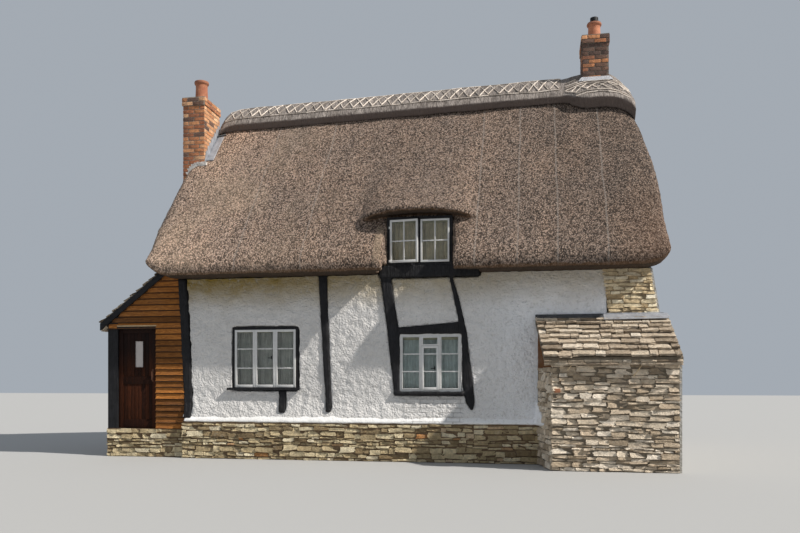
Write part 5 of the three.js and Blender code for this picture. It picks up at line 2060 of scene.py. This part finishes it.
@dataclass
class Window:
    """A window: white lights in its frame, with mullions, bars, panes, fittings and curtains."""

    name: str
    hole: Opening
    lights: tuple[Light, ...]
    side: Side = Side.FRONT
    face_y: float = 0.0
    bar: float = 0.02
    frame_bar: float = 0.048
    mullion: float = 0.0
    timber: Finish = TAR
    curtain: Colour = (0.7, 0.68, 0.63)
    catches: tuple[Range, ...] = ()
    hinges: tuple[Range, ...] = ()
    stile_depth: Range = (0.002, 0.044)
    bar_depth: Range = (0.014, 0.038)
    pane_depth: Range = (0.024, 0.028)
    mullion_depth: Range = (0.0, 0.06)
    pelmet_depth: Range = (0.1, 0.12)
    pelmet_levels: Range = (0.11, 0.004)
    curtain_depth: float = 0.165
    gap: float = 0.002
    foot_rail: float = 1.2
    pane_inset: float = 0.6
    top_stile: float = 0.022
    catch_parts: tuple[Fitting, ...] = (
        ((-0.07, 0.0), (0.004, 0.016), (-0.007, 0.005)),
        ((-0.014, 0.004), (0.0, 0.018), (-0.02, 0.035)),
    )
    hinge_parts: tuple[Fitting, ...] = (((-0.022, 0.022), (-0.006, 0.008), (-0.02, 0.02)),)

    def depth(self, near: float, far: float) -> Range:
        """Gives the Y range of something that lies so far behind the wall's face."""
        a, b = self.face_y + self.side.value * near, self.face_y + self.side.value * far
        return min(a, b), max(a, b)

    def light_spans(self) -> list[tuple[Light, float, float]]:
        """Gives the left and right of each light between the frame's bars and the mullions.

        Returns:
            Each light with its left and its right.
        """
        x0, x1, _, _ = self.hole
        inside = x1 - x0 - 2 * self.frame_bar - self.mullion * (len(self.lights) - 1)
        spans, at = [], x0 + self.frame_bar
        for light in self.lights:
            spans.append((light, at, at + light.share * inside))
            at += light.share * inside + self.mullion
        return spans

    def light_bars(self, light: Light, hole: Opening, levels: Sequence[float]) -> list[Box]:
        """Gives the bars of one light: its stiles, rails and glazing bars.

        Args:
            light: The light.
            hole: Its left, right, foot and head.
            levels: The heights of its level bars.

        Returns:
            Each bar's box.
        """
        x0, x1, z0, z1 = hole
        deep, thin = (self.depth(near - light.proud, far) for near, far in (self.stile_depth, self.bar_depth))
        stile, half = light.stile, self.bar / 2
        across = (x0 + stile - self.gap, x1 - stile + self.gap)
        made: list[Box] = [
            (x0, x0 + stile, *deep, z0, z1),
            (x1 - stile, x1, *deep, z0, z1),
            (*across, *deep, z0, z0 + stile * self.foot_rail),
            (*across, *deep, z1 - stile, z1),
        ]
        made += [(*across, *thin, z - half, z + half) for z in levels]
        for column in range(1, light.columns):
            x = x0 + (x1 - x0) * column / light.columns
            made.append((x - half, x + half, *thin, z0 + stile, z1 - stile))
        return made

    def swing(self, light: Light, x: float) -> Matrix:
        """Gives the matrix that opens a light about its left stile.

        Args:
            light: The light.
            x: Its left.

        Returns:
            The matrix.
        """
        hinge = Matrix.Translation(Vector((x, self.face_y, 0.0)))
        angle = math.radians(-light.open_degrees * self.side.value)
        return hinge @ Matrix.Rotation(angle, 4, "Z") @ hinge.inverted()

    def build(self) -> None:
        """Builds the lights, the mullions, the panes, the fittings and the curtains."""
        x1, low, high = self.hole[1], self.hole[2] + self.frame_bar, self.hole[3] - self.frame_bar
        lights: list[Matrix] = []
        panes: list[Matrix] = []
        mullions: list[Box] = []
        for light, left, right in self.light_spans():
            top = high - light.top_light
            levels = [low + (high - low) * row / light.rows for row in range(1, light.rows)]
            boxes = self.light_bars(light, (left, right, low - light.proud, top - self.gap), levels)
            if light.top_light:
                boxes += self.light_bars(Light(1.0, self.top_stile), (left, right, top + self.gap, high), ())
            swing = self.swing(light, left)
            inset = light.stile * self.pane_inset
            pane = (left + inset, right - inset, *self.depth(*self.pane_depth), low + inset, high - inset)
            lights += [swing @ box_matrix(box) for box in boxes]
            panes.append(swing @ box_matrix(pane))
            if self.mullion and right < x1 - self.frame_bar - 0.01:
                ends = (right + self.gap / 2, right + self.mullion - self.gap / 2)
                mullions.append((*ends, *self.depth(*self.mullion_depth), low, high))
        finished(bars(f"{self.name}_lights", lights), WHITE_PAINT)
        glass = finished(bars(f"{self.name}_panes", panes, 0.001), GLASS)
        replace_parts(glass, f"{self.name}_glass")
        if mullions:
            finished(bars(f"{self.name}_mullions", mullions), self.timber)
        dress_nodes(self.timber, f"{self.name}_frame")
        self.add_fittings()
        self.hang_curtains()

    def fitted(self, parts: Sequence[Fitting], places: Sequence[Range]) -> list[Box]:
        """Gives the boxes of a small fitting at each of its places.

        Args:
            parts: The fitting's parts.
            places: Where along the wall and how high each fitting is.

        Returns:
            Each part's box.
        """
        made: list[Box] = []
        for x, z in places:
            for across, deep, up in parts:
                made.append((x + across[0], x + across[1], *self.depth(*deep), z + up[0], z + up[1]))
        return made

    def add_fittings(self) -> None:
        """Adds the pelmet behind the panes, whose olive band also paints the thatch's reflection at the
        panes' heads, and the catches and hinges that show.
        """
        x0, x1, _, z1 = self.hole
        drop, clear = self.pelmet_levels
        pelmet: Box = (x0 + self.gap, x1 - self.gap, *self.depth(*self.pelmet_depth), z1 - drop, z1 - clear)
        # The pelmet also paints the thatch's reflection along the panes' heads.
        finished(bars(f"{self.name}_pelmet", [pelmet]), PELMET_AND_REFLECTION)
        if self.catches:
            catches = bars(f"{self.name}_catches", self.fitted(self.catch_parts, self.catches))
            finished(catches, IRON)
        if self.hinges:
            hinges = bars(f"{self.name}_hinges", self.fitted(self.hinge_parts, self.hinges))
            finished(hinges, WHITE_PAINT)

    def hang_curtains(self) -> None:
        """Hangs a pair of gathered curtains behind the panes."""
        x0, x1, z0, z1 = self.hole
        width = (x1 - x0) / 2 + 0.04
        fabric = Cotton(f"{self.name}_cotton", 0.95, self.curtain)
        y = self.face_y + self.side.value * self.curtain_depth
        for number, left in enumerate((x0 - 0.03, (x0 + x1) / 2 - 0.01)):
            name = f"{self.name}_curtain_{number + 1}"
            cloth = Curtain(name, left, left + width, y, z0 + 0.01, z1 + 0.02, seed=number + len(self.name))
            cloth.hang(fabric)


@dataclass
class Curtain:
    """A curtain gathered into soft upright folds."""

    name: str
    x0: float
    x1: float
    y: float
    z0: float
    z1: float
    fold: float = 0.075
    deep: float = 0.02
    eased: float = 0.35
    sway: float = 0.006
    thick: float = 0.0015
    least_columns: int = 12
    columns_a_fold: int = 10
    rows: int = 8
    seed: int = 1

    def hang(self, fabric: Cotton) -> None:
        """Args:
            fabric: Its cotton.
        """
        across = max(self.least_columns, int((self.x1 - self.x0) / self.fold * self.columns_a_fold))
        piece = added(bpy.ops.mesh.primitive_grid_add, self.name, x_subdivisions=across,
                      y_subdivisions=self.rows, size=1.0)
        start = random.Random(self.seed).uniform(0.0, 6.0)
        for vertex in piece.data.vertices:
            u, v = vertex.co.x + 0.5, vertex.co.y + 0.5
            x = self.x0 + u * (self.x1 - self.x0)
            turn = x / self.fold * 2 * math.pi + start + 0.5 * math.sin(x * 9 + start)
            swing = self.deep * (1.0 - self.eased * v) * math.sin(turn)
            lean = self.sway * math.sin(v * 5 + start)
            vertex.co = (x + lean, self.y + swing, self.z0 + v * (self.z1 - self.z0))
        hem = [vertex.co for vertex in piece.data.vertices if abs(vertex.co.z - self.z0) < 1e-4]
        hem.sort(key=lambda point: point.x)
        applied(piece, "SOLIDIFY", thickness=self.thick, offset=0.0)
        smooth(piece)
        finished(piece, fabric)


@dataclass(frozen=True)
class Strip:
    """A length of lead at a roof's head: its ends, its fall, how far out it lies, and its upstand."""

    name: str
    ends: Range
    fall: float
    out: float
    turn: float
    upstand: Box
    finish: Finish


@dataclass
class Oven:
    """What finishes the oven: lead along its roof's head, laths under its eaves, the cheek and one brick."""

    strips: tuple[Strip, ...] = (
        Strip("oven_dark_lead", (1.93, 2.99), 0.07, 0.075, 0.02, (1.9, 2.98, -0.035, 0.012, 2.35, 2.43),
              DARK_LEAD),
        Strip("oven_pale_lead", (2.97, 3.96), 0.15, 0.085, -0.015, (2.97, 3.9, -0.04, 0.004, 2.36, 2.44),
              LEAD),
    )
    lead_thick: float = 0.012
    lead_over: float = 0.02
    laths: tuple[tuple[Point, Point], ...] = (
        ((2.5, -1.0, 1.66), (2.37, -1.005, 1.51)),
        ((3.49, -1.0, 1.65), (3.32, -1.005, 1.42)),
    )
    lath_thick: float = 0.011
    lath_tint: float = 0.8
    brick: Box = (2.18, 2.27, -0.99, -0.93, 1.175, 1.235)

    def build(self) -> None:
        """Builds the lead, the laths and the brick, and dresses the cheek."""
        dress_nodes(OAK_RISE, "oven_cheek")
        master = block()
        self.add_lead(master)
        sticks = [stick(Vector(head), Vector(foot), self.lath_thick) for head, foot in self.laths]
        laths = laid("eaves_laths", [master], [Spot(matrix, self.lath_tint) for matrix in sticks])
        finished(laths, PALE_LATH)
        discard(master)
        finished(bars("oven_brick", [self.brick], 0.006), RED_BRICK)

    def add_lead(self, master: Piece) -> None:
        """Adds the dark lead along the left of the roof's head and the pale lead along its right.

        Args:
            master: A unit block.
        """
        top = Vector(OVEN_ROOF_RISE).length
        face = Face((0.0, *OVEN_ROOF_FOOT), TO_RIGHT, 1.0, top, OVEN_ROOF_RISE)
        for strip in self.strips:
            v = (top - strip.fall, top + self.lead_over)
            lying = face.spot(strip.ends, v, strip.out, self.lead_thick, strip.turn)
            piece = laid(strip.name, [master], [lying, Spot(box_matrix(strip.upstand))])
            applied(piece, "BEVEL", width=0.004, segments=2, limit_method="ANGLE")
            finished(piece, strip.finish)


@dataclass
class LeanTo:
    """The lean-to's lapped boards, its posts, its barge board and what is over its door."""

    thick: float = 0.024
    out: float = 0.036
    overlap: Range = (0.012, 0.01)
    uneven: float = 0.006
    tilt: float = 0.24
    least: float = 0.05
    front_y: float = 0.03
    door_right: float = -4.752
    door_top: float = 2.32
    front_left: float = -5.66
    front_top: float = 3.2
    side_width: float = 1.1
    side_top: float = 2.3
    back_width: float = 0.8
    back_top: float = 2.9
    under_roof: float = 0.1
    drip: Box = (-5.5, -4.74, -0.012, 0.028, 2.318, 2.345)
    head: Box = (-5.5, -4.745, -0.018, 0.022, 2.277, 2.32)
    master: Piece | None = field(default=None, init=False)

    def build(self) -> None:
        """Boards the front, the left side and the back, and dresses the timbers."""
        self.master = rough_block(3, 0.03, 90)
        front = Face((0.0, self.front_y, 0.0), TO_RIGHT, 1.0, 1.0)
        side = Face((LEAN_LEFT, BREAST_FRONT, 0.0), TO_FRONT, self.side_width, 1.0)
        back = Face((BREAST_LEFT, BREAST_FRONT, 0.0), TO_LEFT, self.back_width, 1.0)
        self.board("front", front, self.front_top, self.front_span, OAK_BOARD, random.Random(7))
        draw = random.Random(8)
        self.board("side", side, self.side_top, side.whole, OAK_BOARD_SIDE, draw)
        self.board("back", back, self.back_top, self.back_span, OAK_BOARD, draw)
        discard(self.master)
        finished(bars("door_drip", [self.drip], 0.004), PALE_LATH)
        finished(bars("door_head", [self.head], 0.004), TAR_LEVEL)
        dress_nodes(OAK_BOARD, "lean_to_boards", "lean_to_head", "lean_to_rear_walls")
        dress_nodes(TAR, "lean_to_post")
        dress_nodes(TAR_LEVEL, "lean_to_barge")

    def roof_left(self, height: float) -> float:
        """Gives where the roof comes down to some height, less what the boards stop short of it."""
        low, top = LEAN_ROOF_LOW
        return low + (height + self.under_roof - top) / LEAN_ROOF_SLOPE

    def front_span(self, low: float) -> Range:
        """Gives the ends of a front board: from the door or the roof to the corner post.

        Args:
            low: The height of the board's foot.

        Returns:
            Its left and right ends.
        """
        middle = low + BOARD_PITCH / 2
        left = self.door_right if middle < self.door_top else max(self.front_left, self.roof_left(middle))
        return left, track(CORNER_POST_LEFT, middle) + 0.004

    def back_span(self, low: float) -> Range:
        """Gives the ends of a board at the back, from the breast out to the roof."""
        return 0.0, min(self.back_width, BREAST_LEFT - self.roof_left(low + BOARD_PITCH))

    def board(self, name: str, face: Face, top: float, span: Span, finish: Finish,
              draw: random.Random) -> None:
        """Boards a face in lapped courses.

        Args:
            name: The face's name.
            face: The face.
            top: How high the last board may start.
            span: A board's ends, by the height of its foot.
            finish: The boards' finish.
            draw: Where their unevenness is drawn from.
        """
        spots: list[Spot] = []
        below, above = self.overlap
        low = BOARD_FOOT
        while low < top:
            u = span(low)
            if u[1] - u[0] > self.least:
                v = (low - below + draw.uniform(-self.uneven, self.uneven), low + BOARD_PITCH + above)
                turn = draw.uniform(-self.uneven, self.uneven)
                spots.append(face.spot(u, v, self.out, self.thick, turn, self.tilt, draw.random()))
            low += BOARD_PITCH
        coursed(f"{name}_weatherboards", [self.master], spots, finish, 30)


@dataclass
class PlankDoor:
    """The lean-to's door: boards in a frame of stiles and rails, with its pane, straps and latch."""

    ends: Range = (-5.484, -4.752)
    depth: Range = (0.03, 0.075)
    levels: Range = (0.512, 2.31)
    stile: float = 0.085
    head_rail: float = 0.1
    foot_rail: float = 0.15
    middle_rail: Range = (1.29, 1.43)
    lap: float = 0.01
    planks: int = 8
    plank_depth: Range = (0.04, 0.067)
    half_gap: float = 0.001
    pane: Opening = (-5.17, -5.02, 1.595, 2.06)
    bead: float = 0.018
    bead_depth: Range = (0.032, 0.071)
    sliver: float = 0.004
    hinge: Range = (-5.47, 0.087)
    strap: float = 0.38
    strap_depth: Range = (0.074, 0.081)
    strap_levels: Range = (0.018, 0.067)
    knuckle: tuple[Range, ...] = (
        (0.009, 0.0005), (0.009, 0.0845), (0.0072, 0.085), (0.0005, 0.085), (0.0005, 0.0),
    )
    strap_heights: Range = (0.9, 1.95)

    def build(self) -> None:
        """Builds the leaf and its straps, and dresses its pane and latch."""
        boxes = self.frame_boxes() + self.plank_boxes() + self.bead_boxes()
        leaf = bars("door_planks", boxes, 0.004, random.Random(12))
        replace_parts(finished(leaf, DOOR_STAIN, Body.DOOR), "door_leaf")
        self.add_straps()
        dress_nodes(FROSTED, "door_pane")
        dress_nodes(RUST, "door_latch")

    def frame_boxes(self) -> list[Box]:
        """Gives the stiles and rails.

        Returns:
            Their boxes.
        """
        (x0, x1), (z0, z1), deep = self.ends, self.levels, self.depth
        across = (x0 + self.stile, x1 - self.stile)
        return [
            (x0, x0 + self.stile, *deep, z0, z1),
            (x1 - self.stile, x1, *deep, z0, z1),
            (*across, *deep, z1 - self.head_rail, z1),
            (*across, *deep, z0, z0 + self.foot_rail),
            (*across, *deep, *self.middle_rail),
        ]

    def plank_boxes(self) -> list[Box]:
        """Gives the boxes of the planks under the middle rail and over it, round the pane.

        Returns:
            The boxes.
        """
        (x0, x1), (z0, z1), deep, lap = self.ends, self.levels, self.plank_depth, self.lap
        px0, px1, pz0, pz1 = self.pane
        foot, head = z0 + self.foot_rail - lap, z1 - self.head_rail + lap
        under, over = self.middle_rail[0] + lap, self.middle_rail[1] - lap
        pitch = (x1 - x0 - 2 * self.stile) / self.planks
        made: list[Box] = []
        for number in range(self.planks):
            left = x0 + self.stile + number * pitch + self.half_gap
            right = left + pitch - 2 * self.half_gap
            made.append((left, right, *deep, foot, under))
            if right <= px0 or left >= px1:
                made.append((left, right, *deep, over, head))
                continue
            made.append((left, right, *deep, over, pz0))
            made.append((left, right, *deep, pz1, head))
            if left < px0 - self.sliver:
                made.append((left, px0, *deep, pz0 - lap, pz1 + lap))
            if right > px1 + self.sliver:
                made.append((px1, right, *deep, pz0 - lap, pz1 + lap))
        return made

    def bead_boxes(self) -> list[Box]:
        """Gives the boxes of the bead round the pane.

        Returns:
            The boxes.
        """
        px0, px1, pz0, pz1 = self.pane
        bead, deep = self.bead, self.bead_depth
        return [
            (px0 - bead, px0, *deep, pz0 - bead, pz1 + bead),
            (px1, px1 + bead, *deep, pz0 - bead, pz1 + bead),
            (px0, px1, *deep, pz0 - bead, pz0),
            (px0, px1, *deep, pz1, pz1 + bead),
        ]

    def add_straps(self) -> None:
        """Adds the straps and the knuckles that turn on the post's pins."""
        x, y = self.hinge
        low, high = self.strap_levels
        straps: list[Piece] = []
        for height in self.strap_heights:
            box = (x, x + self.strap, *self.strap_depth, height + low, height + high)
            straps.append(bars("strap", [box], 0.002))
            straps.append(turned("knuckle", self.knuckle, (x, y, height), 20))
        finished(joined(straps, "door_straps"), IRON, Body.DOOR)


@dataclass
class Studio:
    """The camera, the lights, the pale floor and the pale surround."""

    lens: float = 34.65
    sensor: float = 36.0
    raised: float = 0.1419
    stand: Point = (1.907, -12.745, 1.366)
    turned_left: float = 10.0
    key_strength: float = 4.9
    key_degrees: float = 1.4
    key_colour: Colour = (1.0, 0.95, 0.88)
    key_from: Point = (0.727, -0.178, 0.665)
    surround: Step = (0.82, 0.9, 1.0, 1.0)
    surround_strength: float = 0.45
    floor_size: float = 120.0
    floor_colour: Step = (0.4, 0.4, 0.395, 1.0)
    floor_roughness: float = 0.95

    def build(self) -> None:
        """Builds them."""
        self.add_camera()
        self.add_lights()
        self.add_floor()

    def add_camera(self) -> None:
        """Adds the level camera with its raised view."""
        data = bpy.data.cameras.new("camera")
        data.lens = self.lens
        data.sensor_width = self.sensor
        data.shift_y = self.raised
        camera = bpy.data.objects.new("camera", data)
        camera.location = self.stand
        camera.rotation_euler = (math.radians(90), 0.0, math.radians(self.turned_left))
        bpy.context.scene.collection.objects.link(camera)
        bpy.context.scene.camera = camera

    def add_lights(self) -> None:
        """Adds a low key light from the right, and a pale surround."""
        data = bpy.data.lights.new("key", "SUN")
        data.energy = self.key_strength
        data.angle = math.radians(self.key_degrees)
        data.color = self.key_colour
        key = bpy.data.objects.new("key", data)
        key.rotation_euler = Vector(self.key_from).to_track_quat("Z", "Y").to_euler()
        bpy.context.scene.collection.objects.link(key)
        world = bpy.data.worlds.new("surround")
        world.use_nodes = True
        background = world.node_tree.nodes["Background"]
        background.inputs["Color"].default_value = self.surround
        background.inputs["Strength"].default_value = self.surround_strength
        bpy.context.scene.world = world
        bpy.context.scene.view_settings.view_transform = "Standard"

    def add_floor(self) -> None:
        """Adds the plain pale floor."""
        floor = added(bpy.ops.mesh.primitive_plane_add, "studio_floor", size=self.floor_size)
        plain = bpy.data.materials.new("studio_floor")
        plain.use_nodes = True
        shader = plain.node_tree.nodes["Principled BSDF"]
        shader.inputs["Base Color"].default_value = self.floor_colour
        shader.inputs["Roughness"].default_value = self.floor_roughness
        floor.data.materials.append(plain)


THIRDS = (Light(1 / 3), Light(1 / 3), Light(1 / 3))
PAIR = (Light(0.5, 0.034, 2, 2, open_degrees=7.0), Light(0.5, 0.03, 2, 2))
MIDDLE_OPEN = (Light(0.342, 0.01), Light(0.316, 0.036, 3, top_light=0.16, proud=0.012), Light(0.342, 0.01))
LINEN = (0.82, 0.68, 0.46)
WINDOWS = (
    Window("left_window", (-3.32, -2.12, 1.19, 2.29), THIRDS, catches=((-2.6, 1.75),)),
    Window("right_window", (-0.35, 0.69, 1.17, 2.14), MIDDLE_OPEN, mullion=0.024, frame_bar=0.044,
           timber=WHITE_PAINT, curtain=(0.74, 0.83, 0.83), catches=((0.25, 1.56),)),
    Window("upper_window", (-0.555, 0.545, 3.285, 4.1), PAIR, face_y=-0.045, mullion=0.036, curtain=LINEN,
           hinges=((-0.502, 3.92), (-0.502, 3.36))),
    Window("back_window", (-2.7, -1.5, 1.19, 2.29), THIRDS, side=Side.BACK, face_y=HOUSE_DEPTH),
    Window("back_upper", (-0.555, 0.545, 3.285, 4.1), PAIR, side=Side.BACK, face_y=HOUSE_DEPTH + 0.045,
           mullion=0.036, curtain=LINEN),
)


def main() -> None:
    """Builds the cottage's pieces and the studio round them."""
    logging.basicConfig(level=logging.INFO, format="%(name)s: %(message)s")
    bpy.ops.object.select_all(action="DESELECT")
    Studio().build()
    for window in WINDOWS:
        window.build()
    PlankDoor().build()
    LeanTo().build()
    Oven().build()
    Slating().build()
    Masonry().build()
    Timbers().build()
    Walls().build()
    Thatch().build()
    Stacks().build()


if __name__ == "__main__":
    main()
